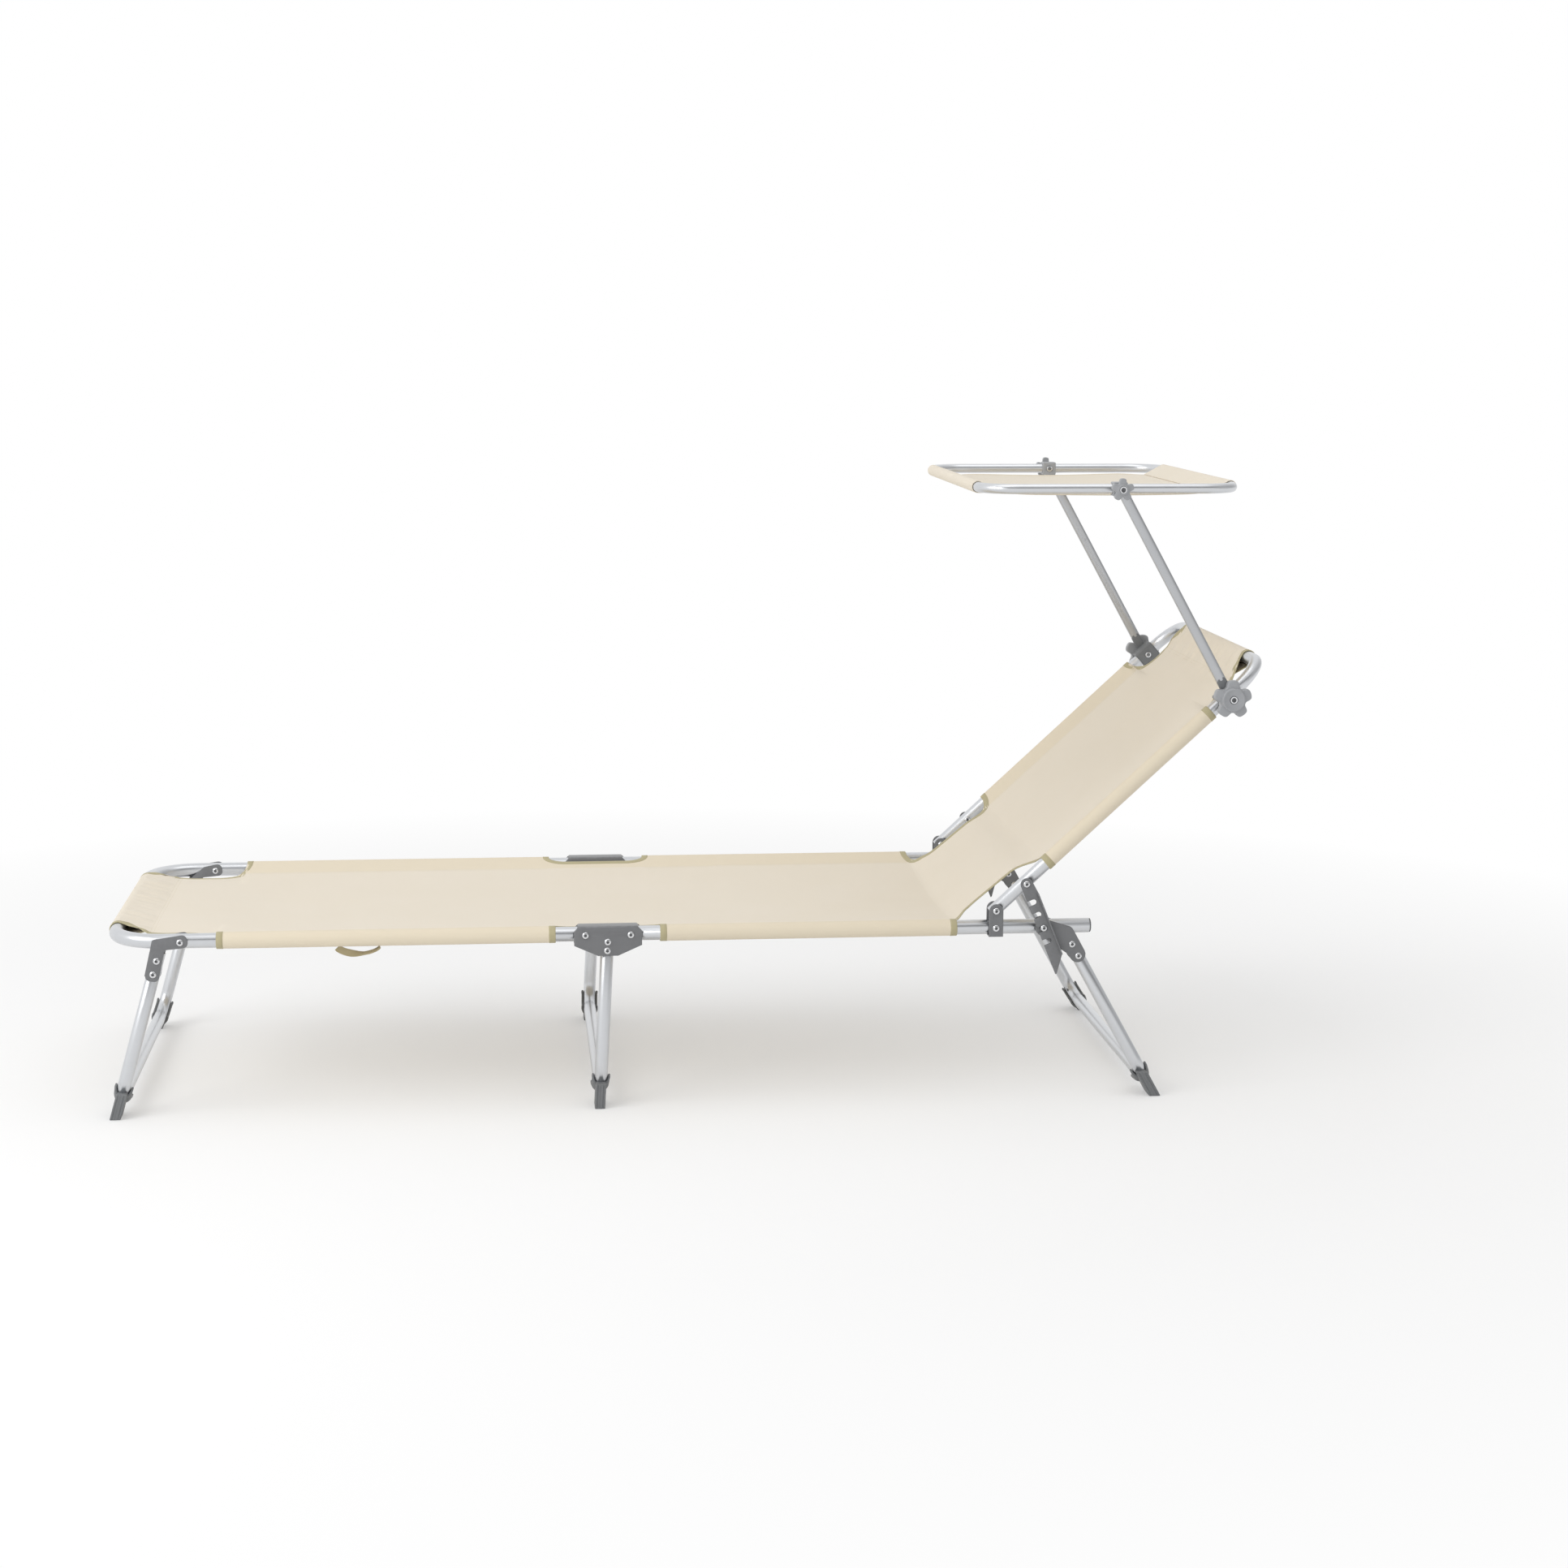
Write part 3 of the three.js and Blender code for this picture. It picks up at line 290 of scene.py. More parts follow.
def painted_steel(name, rgb):
    """Powder coat: a fine orange peel, with paler edges in patches: painted highlight on the rolled edges,
    and rubbed paint.
    """
    finish = Finish(name, Metallic=0.0, Specular_IOR_Level=0.5)
    place = finish.object_place()
    peel = finish.noise(place, 900.0, 2.0)
    cloud = finish.noise(place, 38.0, 4.0, 0.6)
    # Painted highlight: sharp edges are lightened in noisy patches, which also stand for rubbed paint
    edges = finish.between(finish.node("ShaderNodeNewGeometry", output="Pointiness"), 0.52, 0.60)
    edge_highlight_and_wear = edges * finish.between(finish.noise(place, 160.0, 3.0), 0.35, 0.7)
    base = finish.tint(shaded(rgb, 0.9), shaded(rgb, 1.12), cloud)
    return finish.surface(
        Base_Color=finish.tint(base, shaded(rgb, 1.7), edge_highlight_and_wear * 0.6),
        Roughness=0.29 + cloud * 0.12,
        Normal=finish.bump(peel, 0.00005, 0.6),
    )


def polished_rivet(name, rgb):
    """Bright metal, slightly clouded and pitted."""
    finish = Finish(name, Metallic=1.0)
    place = finish.object_place()
    cloud = finish.noise(place, 320.0, 3.0)
    pits = finish.noise(place, 1500.0, 2.0)
    return finish.surface(
        Base_Color=finish.tint(shaded(rgb, 0.9), shaded(rgb, 1.05), cloud),
        Roughness=0.14 + cloud * 0.14,
        Normal=finish.bump(pits, 0.00002, 0.5),
    )


def moulded_plastic(name, rgb, gloss):
    """Moulded plastic with a spark-eroded grain."""
    finish = Finish(name, Specular_IOR_Level=0.5)
    place = finish.object_place()
    cells = finish.node("ShaderNodeTexVoronoi", inputs={"Vector": place, "Scale": 1600.0})
    cloud = finish.noise(place, 45.0, 3.0)
    return finish.surface(
        Base_Color=finish.tint(shaded(rgb, 0.93), shaded(rgb, 1.08), cloud),
        Roughness=gloss + cloud * 0.12,
        Normal=finish.bump(cells, 0.00008, 0.5),
    )


def woven(name, light, deep, pitch, depth, sleeve_shade_from=None):
    """Plain weave laid out in the cut of the cloth, with uneven yarn, and with painted shade, deeper and
    yellower, on the side sleeves.
    """
    finish = Finish(name, Sheen_Weight=0.15, Sheen_Roughness=0.5, Specular_IOR_Level=0.25)
    place = finish.cut_place()
    across, along = finish.part(place, 0), finish.part(place, 1)
    turn = 2 * math.pi / pitch
    uneven = finish.noise(finish.stretched(place, (30, 900, 1)), 1.0, 2.0)
    weft = (along * turn + uneven * 0.6).sine()
    warp = (across * turn).sine()
    yarns = weft * warp * 0.5 + 0.5
    slubs = finish.noise(finish.stretched(place, (900, 60, 1)), 1.0, 3.0, 0.6)
    cloud = finish.noise(place, 7.0, 3.0)
    tone = finish.between(cloud * 0.3 + slubs * 0.4 + yarns * 0.3, 0.25, 0.70)
    ripple = finish.noise(finish.stretched(place, (40, 18, 1)), 1.0, 2.0)
    soft = finish.bump(ripple, 0.0006, 0.35)
    base = finish.tint(deep, light, tone)
    # Painted shade: beyond the sleeves' seams the cloth is tinted deeper and yellower, for the shade on the
    # side sleeves
    if sleeve_shade_from is not None:
        in_sleeve = finish.between(abs(across), sleeve_shade_from, sleeve_shade_from + 0.001)
        base = finish.tint(base, tuple(c * d for c, d in zip(deep, (0.97, 0.94, 0.86))), in_sleeve * 0.6)
    return finish.surface(
        Base_Color=base,
        Roughness=0.88 - 0.05 * yarns,
        Normal=finish.bump(yarns + slubs * 0.4, depth, 0.7, soft),
    )


def spun_thread(name, rgb):
    """Sewing thread, lighter and darker with its twist."""
    finish = Finish(name, Specular_IOR_Level=0.3)
    twist = finish.noise(finish.object_place(), 2500.0, 2.0)
    return finish.surface(
        Base_Color=finish.tint(shaded(rgb, 0.85), shaded(rgb, 1.08), twist),
        Roughness=0.75 + twist * 0.15,
        Normal=finish.bump(twist, 0.00005, 0.6),
    )


FINISHES = {}


def finishes():
    """The lounger's materials, made once from the colours in the sidebar."""
    if not FINISHES:
        chosen = bpy.context.scene.lounger_colours
        rgb = {key: tuple(getattr(chosen, key)) for key in chosen.__annotations__}
        binding, webbing = rgb["binding"], rgb["webbing"]
        # From here outward the side sleeves get their painted shade, just outboard of their seams
        sleeve = HALF - SIDE_SEAM + 0.0005
        FINISHES.update(
            tube=satin_aluminium("satin_tube", rgb["aluminium"], drawn=True),
            # Posts: the tube aluminium darkened to 0.78, as painted shade for the darker reflection on their
            # flat faces
            post=satin_aluminium("satin_post", shaded(rgb["aluminium"], 0.78), drawn=False),
            steel=painted_steel("painted_steel", rgb["steel"]),
            rivet=polished_rivet("polished_rivet", rgb["rivet"]),
            knob=moulded_plastic("knob_plastic", rgb["plastic"], 0.34),
            foot=moulded_plastic("foot_plastic", rgb["foot"], 0.48),
            cloth=woven("sling_cloth", rgb["cloth"], rgb["cloth_shade"], 0.0016, 0.00018, sleeve),
            binding=woven("binding_tape", binding, shaded(binding, 0.84), 0.0012, 0.0002),
            webbing=woven("handle_webbing", webbing, shaded(webbing, 0.8), 0.0026, 0.0005),
            thread=spun_thread("sewing_thread", rgb["thread"]),
        )
    return FINISHES


# Mesh building


def placed(name, data):
    """A new object in the scene."""
    made = bpy.data.objects.new(name, data)
    bpy.context.scene.collection.objects.link(made)
    return made


def smooth(mesh, crease):
    """Shades a mesh smooth, except at edges sharper than the crease in degrees."""
    mesh.shade_smooth()
    mesh.set_sharp_from_angle(angle=math.radians(crease))


def piece(name, points, faces, finish, cuts=None):
    """A mesh object from points and faces, with the place of each face corner in the cut as its UV."""
    mesh = bpy.data.meshes.new(name)
    mesh.from_pydata([tuple(p) for p in points], [], faces)
    if cuts is not None:
        layer = mesh.uv_layers.new(name="cut")
        layer.data.foreach_set("uv", np.array([uv for face in cuts for uv in face], np.float32).ravel())
    mesh.materials.append(finishes()[finish])
    mesh.shade_smooth()
    mesh.update()
    return placed(name, mesh)


def tidy(made, crease, weld=True):
    """Welds doubled points, turns all faces outward and marks the sharp edges."""
    work = bmesh.new()
    work.from_mesh(made.data)
    if weld:
        bmesh.ops.remove_doubles(work, verts=work.verts, dist=1e-6)
        bmesh.ops.dissolve_degenerate(work, edges=work.edges, dist=1e-7)
    bmesh.ops.recalc_face_normals(work, faces=work.faces)
    work.to_mesh(made.data)
    work.free()
    smooth(made.data, crease)
    return made


def lofted(name, rings, finish, crease, ends=(0, -1)):
    """A piece through rings of points, closed over at its ends, which are the first and last ring."""
    size = len(rings[0])
    faces = [
        (i * size + k, i * size + (k + 1) % size, (i + 1) * size + (k + 1) % size, (i + 1) * size + k)
        for i in range(len(rings) - 1)
        for k in range(size)
    ]
    faces += [tuple((end % len(rings)) * size + k for k in range(size)) for end in ends]
    return tidy(piece(name, [point for ring in rings for point in ring], faces, finish), crease)


def circle(centre, radius, sides):
    """A ring of places in the side view, round a centre."""
    turns = (2 * math.pi * k / sides for k in range(sides))
    return [(centre.x + radius * math.cos(turn), centre.z + radius * math.sin(turn)) for turn in turns]


def at_y(ring, y):
    """A ring of the side view at a place along Y."""
    return [(x, y, z) for x, z in ring]


def swept(count, size, runs, spans):
    """Faces along rings of points, and their corners in the cut, from each ring's run and side's span."""
    faces, cuts = [], []
    for i, (run, run_after) in enumerate(zip(runs, runs[1:])):
        after = (i + 1) % count
        for k, (low, high) in enumerate(spans):
            far = (k + 1) % size
            faces.append((i * size + k, after * size + k, after * size + far, i * size + far))
            cuts.append(((low, run), (low, run_after), (high, run_after), (high, run)))
    return faces, cuts


def thickened(made, thickness):
    """Gives a sheet its thickness, half of it to each side."""
    shell = made.modifiers.new("thickness", "SOLIDIFY")
    shell.thickness, shell.offset = thickness, 0


def rounded(made, width, crease):
    """Rounds the edges sharper than the crease in degrees."""
    rounding = made.modifiers.new("edges", "BEVEL")
    rounding.width, rounding.segments = width, 2
    rounding.limit_method, rounding.angle_limit = "ANGLE", math.radians(crease)


def settle(made, crease):
    """Applies the object's modifiers to its mesh and marks the sharp edges."""
    bpy.context.view_layer.update()
    graph = bpy.context.evaluated_depsgraph_get()
    mesh = bpy.data.meshes.new_from_object(made.evaluated_get(graph))
    made.modifiers.clear()
    made.data = mesh
    mesh.set_sharp_from_angle(angle=math.radians(crease))
    return made


def carried(made, node=None, body=None):
    """Puts a finished piece on its body, or on that of the frame's node which it stands for."""
    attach(made, body or frame["nodes"][node]["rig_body"])
    if node:
        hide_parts(node)


def inner_outer(node, sign):
    """Places along Y of the inner and the outer end of a node on one side of the lounger."""
    low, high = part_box(node)
    return (high.y, low.y) if sign < 0 else (low.y, high.y)


def bent_line(corners, radius, steps=14):
    """Places and headings along a line through corners that are rounded to one radius."""
    corners = [Vector(c) for c in corners]
    heading = [(b - a).normalized() for a, b in zip(corners, corners[1:])]
    line = [(corners[0], heading[0])]
    for corner, before, after in zip(corners[1:], heading, heading[1:]):
        turn = before.angle(after)
        axis = before.cross(after).normalized()
        start = corner - before * radius * math.tan(turn / 2)
        centre = start + axis.cross(before) * radius
        for step in range(steps + 1):
            twist = Matrix.Rotation(turn * step / steps, 3, axis)
            line.append((centre + twist @ (start - centre), twist @ before))
    line.append((corners[-1], heading[-1]))
    return line


TUBE_MOUTH = 0.010  # how deep the bore of an open tube end is drawn
TUBE_EDGE = 0.0003  # rounding of the cut end of a tube


def tube(name, line, radius, upward, closed=False, hinged=()):
    """A round tube along a flat line. Open ends show their wall; hinged ones are rounded to turn freely."""
    sizes = bpy.context.scene.lounger_sizes
    sides, bore = sizes.tube_sides, radius - sizes.tube_wall
    upward = Vector(upward).normalized()
    rings = [(place, heading, radius) for place, heading in line]
    cut_back = {}
    if not closed:

        def mouth(place, heading, way):
            return [
                (place + heading * way * TUBE_MOUTH, heading, bore),
                (place, heading, bore),
                (place, heading, radius - TUBE_EDGE),
                (place + heading * way * TUBE_EDGE, heading, radius),
            ]

        first, last = mouth(*line[0], 1), mouth(*line[-1], -1)[::-1]
        rings = first + rings[1:-1] + last
        if "first" in hinged:
            cut_back.update(dict.fromkeys(range(len(first)), 1))
        if "last" in hinged:
            cut_back.update(dict.fromkeys(range(len(rings) - len(last), len(rings)), -1))
    points, runs, run = [], [], 0.0
    for i, (place, heading, r) in enumerate(rings):
        run += (place - rings[i - 1][0]).length if i else 0.0
        runs.append(run)
        sideways = heading.cross(upward).normalized()
        for k in range(sides):
            angle = 2 * math.pi * k / sides
            rise = r * math.cos(angle)
            back = (radius - math.sqrt(max(0.0, radius**2 - rise**2))) * cut_back.get(i, 0)
            points.append(place + heading * back + upward * rise + sideways * r * math.sin(angle))
    girth = 2 * math.pi * radius / sides
    if closed:
        runs.append(run + (rings[0][0] - rings[-1][0]).length)
    faces, cuts = swept(len(rings), sides, runs, [(k * girth, (k + 1) * girth) for k in range(sides)])
    if not closed:
        for ring, way in ((0, 1), (len(rings) - 1, -1)):
            faces.append(tuple(ring * sides + k for k in range(sides))[::way])
            cuts.append(tuple((k * girth, runs[ring]) for k in range(sides)))
    made = piece(name, points, faces, "tube", cuts)
    smooth(made.data, 50)
    return made


TURNED_SIDES = 28


def turned(name, centre, profile, shaded_core):
    """A bright piece turned about a line along Y, from pairs of radius and place, with its core in dark
    painted steel as painted shade in its hollow.
    """
    rings = [at_y(circle(centre, radius, TURNED_SIDES), y) for radius, y in profile]
    made = lofted(name, rings, "rivet", 45, ends=())
    # Painted shade: faces inside the core take the dark painted steel, for the shade in the hollow
    made.data.materials.append(finishes()["steel"])
    for face in made.data.polygons:
        if math.hypot(face.center.x - centre.x, face.center.z - centre.z) < shaded_core:
            face.material_index = 1
    return made


def joined(name, parts):
    """Several pieces of one finish as one object."""
    work = bmesh.new()
    materials = list(parts[0].data.materials)
    for part in parts:
        work.from_mesh(part.data)
        old = part.data
        bpy.data.objects.remove(part)
        bpy.data.meshes.remove(old)
    mesh = bpy.data.meshes.new(name)
    work.to_mesh(mesh)
    work.free()
    for material in materials:
        mesh.materials.append(material)
    return placed(name, mesh)


def spread_folds(work, centre, fold):
    """Makes the flat chamfers along the upper folds of a cover wider."""
    top = max(vert.co.z for vert in work.verts)
    chamfers = [face for face in work.faces if face.normal.z > 0.6 and abs(face.normal.y) > 0.6]
    for vert in {vert for face in chamfers for vert in face.verts}:
        if vert.co.z > top - 0.0001:
            vert.co.y -= math.copysign(fold, vert.co.y - centre.y)
        else:
            vert.co += Vector((math.copysign(fold, vert.co.x - centre.x), 0, -fold))


def eased(node, finish, bevel, fold=0.0):
    """The frame's own sheet metal or moulding, with flat faces joined up and its edges rounded."""
    mesh = frame["nodes"][node].data.copy()
    mesh.name = node + "_finished"
    mesh.materials.clear()
    mesh.materials.append(finishes()[finish])
    work = bmesh.new()
    work.from_mesh(mesh)
    bmesh.ops.remove_doubles(work, verts=work.verts, dist=2e-6)
    flat = math.radians(0.6)
    bmesh.ops.dissolve_limit(work, angle_limit=flat, verts=work.verts, edges=work.edges, delimit=set())
    bmesh.ops.recalc_face_normals(work, faces=work.faces)
    if fold:
        spread_folds(work, middle(node), fold)
    work.to_mesh(mesh)
    work.free()
    mesh.shade_smooth()
    made = placed(node + "_finished", mesh)
    rounded(made, bevel, 38)
    return settle(made, 38)


# Tubes


class Leg:
    """A leg frame, drawn straight down beside its pivot and turned into place."""

    def __init__(self, body, pivot, way, splay, offset, top, rivets):
        self.body, self.pivot, self.way, self.splay = body, pivot, way, math.radians(splay)
        self.offset = offset  # of the leg's axis from the pivot
        self.top = top  # heights of the tube's ends and of the bracket's fixed rivets, from the pivot
        self.rivets = rivets

    def place(self, x, y, z):
        """The place in the frame of a place beside the upright leg's pivot."""
        x, turn = x * self.way, -self.way * self.splay
        return Vector((
            self.pivot.x + x * math.cos(turn) + z * math.sin(turn),
            y,
            RAIL_Z - x * math.sin(turn) + z * math.cos(turn),
        ))

    def low(self, sizes):
        """Height of the axis of the cross tube, from the pivot."""
        ground = -(RAIL_Z + self.offset * math.sin(self.splay)) / math.cos(self.splay)
        return ground + UNDER_LEG + sizes.leg_radius


UNDER_LEG = 0.018  # from the ground to a leg's cross tube, along the leg
LEGS = {
    "foot": Leg("foot_legs", FOOT_LEG, -1, 15.8, 0.026, -0.024, (-0.036, -0.057)),
    "middle": Leg("middle_section", Vector((MIDDLE_X, 0, RAIL_Z)), 1, -3, 0.0, 0.010, (-0.0106, -0.024)),
    "rear": Leg("rear_legs", NOTCH_PIN, 1, 29, 0.026, -0.035, (-0.045, -0.066)),
}


def leg_tube(kind, leg, sizes):
    low = leg.low(sizes)
    ends = ((-HALF, leg.top), (-HALF, low), (HALF, low), (HALF, leg.top))
    line = bent_line([leg.place(leg.offset, y, z) for y, z in ends], sizes.leg_bend)
    upward = leg.place(1, 0, 0) - leg.place(0, 0, 0)
    return tube(kind + "_leg_tube", line, sizes.leg_radius, upward)


def back_place(along, y, rise=0.0):
    """A place on the back: along it from its pivot, and above the axis of its tubes."""
    c, s = math.cos(BACK_LEAN), math.sin(BACK_LEAN)
    return Vector((BACK_PIVOT.x + along * c - rise * s, y, BACK_PIVOT.z + along * s + rise * c))


BACK_FOOT = -0.007  # lower ends of the back tube, along the back from its pivot


class LOUNGER_OT_tubes(Operator):
    """Builds the bent tubes of the foot section, seat, back, legs and shade"""

    bl_idname = "lounger.tubes"
    bl_label = "Tubes"

    def execute(self, context):
        sizes = context.scene.lounger_sizes
        r = sizes.rail_radius
        corners = [(FOOT_FOLD.x + r, -HALF), (FOOT_X + r, -HALF), (FOOT_X + r, HALF), (FOOT_FOLD.x + r, HALF)]
        foot = bent_line([(x, y, RAIL_Z) for x, y in corners], sizes.frame_bend)
        carried(tube("foot_section_tube", foot, r, (0, 0, 1), hinged=("first", "last")), "foot_frame")
        rail_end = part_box("seat_rail_left")[1].x
        for side, sign in SIDES.items():
            rail = bent_line([(SEAT_FOLD.x - r, sign * HALF, RAIL_Z), (rail_end, sign * HALF, RAIL_Z)], 0)
            made = tube("seat_rail_tube_" + side, rail, r, (0, 0, 1), hinged=("first",))
            carried(made, "seat_rail_" + side)
        top = sizes.back_length
        corners = [(BACK_FOOT, -HALF), (top, -HALF), (top, HALF), (BACK_FOOT, HALF)]
        back = bent_line([back_place(along, y) for along, y in corners], sizes.back_bend)
        upward = back_place(0, 0, 1) - back_place(0, 0)
        carried(tube("back_tube", back, sizes.back_radius, upward), "back_frame")
        for kind, leg in LEGS.items():
            carried(leg_tube(kind, leg, sizes), kind + "_leg_frame")
        carried(shade_tube(sizes), "shade_frame")
        return {"FINISHED"}


def shade_tube(sizes):
    """The shade's loop, closed by a butt joint that a sleeve hides."""
    front, half, z = UPPER_KNOB.x - sizes.shade_front, sizes.shade_half, UPPER_KNOB.z
    rear = front + sizes.shade_length
    corners = ((front, 0), (front, half), (rear, half), (rear, -half), (front, -half), (front, 0))
    line = bent_line([(x, y, z) for x, y in corners], sizes.shade_bend)[:-1]
    return tube("shade_loop_tube", line, sizes.shade_radius, (0, 0, 1), closed=True)


# Rivets, pins and bolts


RIVET_RADIUS, RIVET_RISE = 0.0054, 0.0022
RIVET_SHADED_CORE = 0.0019  # radius of the hollow of a rivet's mandrel, painted dark as the shade in it
SHANK, NOTCH_SHANK = 0.0030, 0.0032
CHANNEL_REACH = 0.0134  # plane of a side frame to the outer face of its folded channel


def rivet_crown(face, way):
    """Half the outline of a domed rivet head with the hollow of its mandrel, from its centre to its rim."""
    rim = ((0.64, 0.88), (0.86, 0.52), (0.985, 0.16), (1, 0))
    return [
        (0.0, face + way * (RIVET_RISE - 0.0020)),
        (0.0017, face + way * (RIVET_RISE - 0.0020)),
        (RIVET_SHADED_CORE, face + way * (RIVET_RISE - 0.0004)),
        (0.0023, face + way * RIVET_RISE),
        *((RIVET_RADIUS * out, face + way * RIVET_RISE * up) for out, up in rim),
    ]


PINS = ("foot_leg_pin", "foot_fold_pin", "seat_fold_pin", "back_pivot_pin", "notch_pin", "notch_bar_pin")


def headed_pin(name, centre, low, high, shank):
    """A pin across its bracket, with a crown at each end."""
    low, high = low + RIVET_RISE, high - RIVET_RISE
    profile = [*rivet_crown(low, -1), (shank, low), (shank, high), *rivet_crown(high, 1)[::-1]]
    return turned(name, centre, profile, RIVET_SHADED_CORE)


def fixed_rivets(name, places, body):
    """The heads of fixed rivets on both faces of a folded channel, as one piece."""
    heads = []
    for at in places:
        for way in (-1, 1):
            face = at.y + way * CHANNEL_REACH
            profile = [*rivet_crown(face, way), (SHANK, face), (SHANK, face - way * 0.004)]
            heads.append(turned("head", at, profile, RIVET_SHADED_CORE))
    carried(joined(name, heads), body=body)


BOLT_SHADED_CORE = 0.0029  # radius of the hollow in a bolt's swaged end, painted dark as the shade in it
# Outline of a clamping bolt: its radius at distances from the inner end and from the outer end
BOLT_HEAD = (
    (0.0, 0.0), (0.0030, 0.0), (0.0048, 0.0006), (0.0050, 0.0012), (0.0050, 0.0021), (0.0030, 0.0021),
)
BOLT_END = (
    (0.0030, 0.0030), (0.0054, 0.0026), (0.0057, 0.0012), (0.0053, 0.0002), (0.0044, 0.0), (0.0035, 0.0003),
    (0.0031, 0.0012), (0.0030, 0.0045), (0.0, 0.0045),
)


class LOUNGER_OT_fasteners(Operator):
    """Builds the pivot pins, fixed rivets and clamping bolts"""

    bl_idname = "lounger.fasteners"
    bl_label = "Rivets, pins and bolts"

    def execute(self, context):
        for side, sign in SIDES.items():
            for stem in PINS:
                node = f"{stem}_{side}"
                low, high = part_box(node)
                shank = NOTCH_SHANK if stem == "notch_pin" else SHANK
                carried(headed_pin(node + "_turned", middle(node), low.y, high.y, shank), node)
            for kind, leg in LEGS.items():
                places = [leg.place(leg.offset, sign * HALF, z) for z in leg.rivets]
                fixed_rivets(f"{kind}_bracket_rivets_{side}", places, leg.body)
            clamp = Vector((BACK_PIVOT.x, sign * HALF, RAIL_Z))
            fixed_rivets("back_clamp_rivets_" + side, [clamp], "seat")
            for level in ("lower", "upper"):
                node = f"{level}_bolt_{side}"
                inner, outer = inner_outer(node, sign)
                profile = [(radius, inner + sign * off) for radius, off in BOLT_HEAD]
                profile += [(radius, outer - sign * off) for radius, off in BOLT_END]
                carried(turned(node + "_turned", middle(node), profile, BOLT_SHADED_CORE), node)
        return {"FINISHED"}


# Brackets, clamps, bars, feet and posts


SHEET_METAL = ("middle_bracket", "rear_leg_bracket", "back_clamp", "notch_bar")
COVER_FOLD = 0.0010  # added to the width of the chamfers along the middle bracket's upper folds
CHEEK_INNER = 0.0114  # plane of a side frame to the inner face of a folded channel's cheek
# Corners of the cheeks of the foot end bracket, from the pivot, each with its rounding
CHEEK_FRONT = (((0.0122, -0.0080), 0.0085), ((0.0100, 0.0122), 0.0090))
CHEEK_LOW = (((-0.0535, -0.0565), 0.0085), ((-0.0330, -0.0600), 0.0085), ((-0.0222, -0.0112), 0.0050))
OUTER_CHEEK = (*CHEEK_FRONT, ((-0.0405, 0.0046), 0.0050), *CHEEK_LOW)
INNER_CHEEK = (*CHEEK_FRONT, ((-0.0180, 0.0070), 0.0060), ((-0.0430, -0.0135), 0.0040), *CHEEK_LOW)
WEB_TOP, WEB_LOW, WEB_THICK = Vector((-0.0446, -0.0135)), Vector((-0.0531, -0.0500)), 0.0018
WEB_HALF = 0.0122


def rounded_outline(corners, steps=7):
    """A closed outline in the side view with each corner drawn as a curve."""
    points = []
    for i, (corner, rounding) in enumerate(corners):
        here = Vector(corner)
        before = Vector(corners[i - 1][0]) - here
        after = Vector(corners[(i + 1) % len(corners)][0]) - here
        reach = min(rounding / math.tan(before.angle(after) / 2), 0.48 * before.length, 0.48 * after.length)
        before, after = before.normalized() * reach, after.normalized() * reach
        points += [here + before * (1 - k / steps) ** 2 + after * (k / steps) ** 2 for k in range(steps + 1)]
    return points


def drawn_in(outline, pivot):
    """An anticlockwise outline round a pivot in the side view, as a function of its inset."""

    def ring(inset):
        points = []
        for k, at in enumerate(outline):
            along = (outline[(k + 1) % len(outline)] - outline[k - 1]).normalized()
            spot = at + Vector((-along.y, along.x)) * inset
            points.append((pivot.x + spot.x, pivot.z + spot.y))
        return points

    return ring


def layers_between(low, high, rim):
    """Insets and places along Y of a slab, from the insets and depths of one of its rims."""
    near = [(inset, low + depth) for inset, depth in rim]
    return near + [(inset, high - depth) for inset, depth in reversed(rim)]


def rounded_layers(low, high, rounding, reach, steps):
    """The layers of a slab with rounded rims, or with crowned faces where they reach further in."""
    turns = [math.pi / 2 * k / steps for k in range(steps + 1)]
    rim = [(reach * (1 - math.sin(a)), rounding * (1 - math.cos(a))) for a in turns]
    return layers_between(low, high, rim)


def layered(name, outline, layers, finish):
    """A slab whose side view outline is drawn in by an inset at each place along Y."""
    return lofted(name, [at_y(outline(inset), y) for inset, y in layers], finish, 40)


def foot_bracket(side):
    """The folded channel at the top of a foot end leg: two cheeks and the web that joins them."""
    down = WEB_LOW - WEB_TOP
    thick = Vector((-down.y, down.x)).normalized() * WEB_THICK
    plates = (
        ("cheek", rounded_outline(OUTER_CHEEK), (CHEEK_INNER, CHANNEL_REACH), 0.0008),
        ("cheek", rounded_outline(INNER_CHEEK), (-CHEEK_INNER, -CHANNEL_REACH), 0.0008),
        ("web", [WEB_TOP, WEB_LOW, WEB_LOW + thick, WEB_TOP + thick], (-WEB_HALF, WEB_HALF), 0.0002),
    )
    parts = []
    for name, outline, faces, edge in plates:
        low, high = sorted(SIDES[side] * (HALF + face) for face in faces)
        layers = layers_between(low, high, ((edge, 0), (edge * 0.3, edge * 0.3), (0, edge)))
        parts.append(layered(name, drawn_in(outline, FOOT_LEG), layers, "steel"))
    return joined(f"foot_leg_bracket_{side}_pressed", parts)


# Mouldings that keep the shape of the frame, each with its finish and its slot
MOULDED = {
    "seat_rail_plug": ("foot", "foot_plastic"),
    "shade_bracket": ("foot", "bracket_steel"),
    "shade_clamp": ("knob", "bracket_steel"),
}
SADDLE_WALL = 0.0034
SADDLE_TURN = math.radians(102)  # how far the shell reaches round the tube to each side
SADDLE_ENDS = (-0.010, 0.0330)  # below the tube, from where the bend starts, along the tube
SADDLE_FLARE = 0.0009  # flare of the lips and rounding of their edges
BLOCK_HALF = 0.0078
BLOCK_REACH = (-0.018, 0.016)  # from the plane of the side frame, inward and outward
BLOCK_RISE = 0.0385
BLOCK_RIB = 0.0009
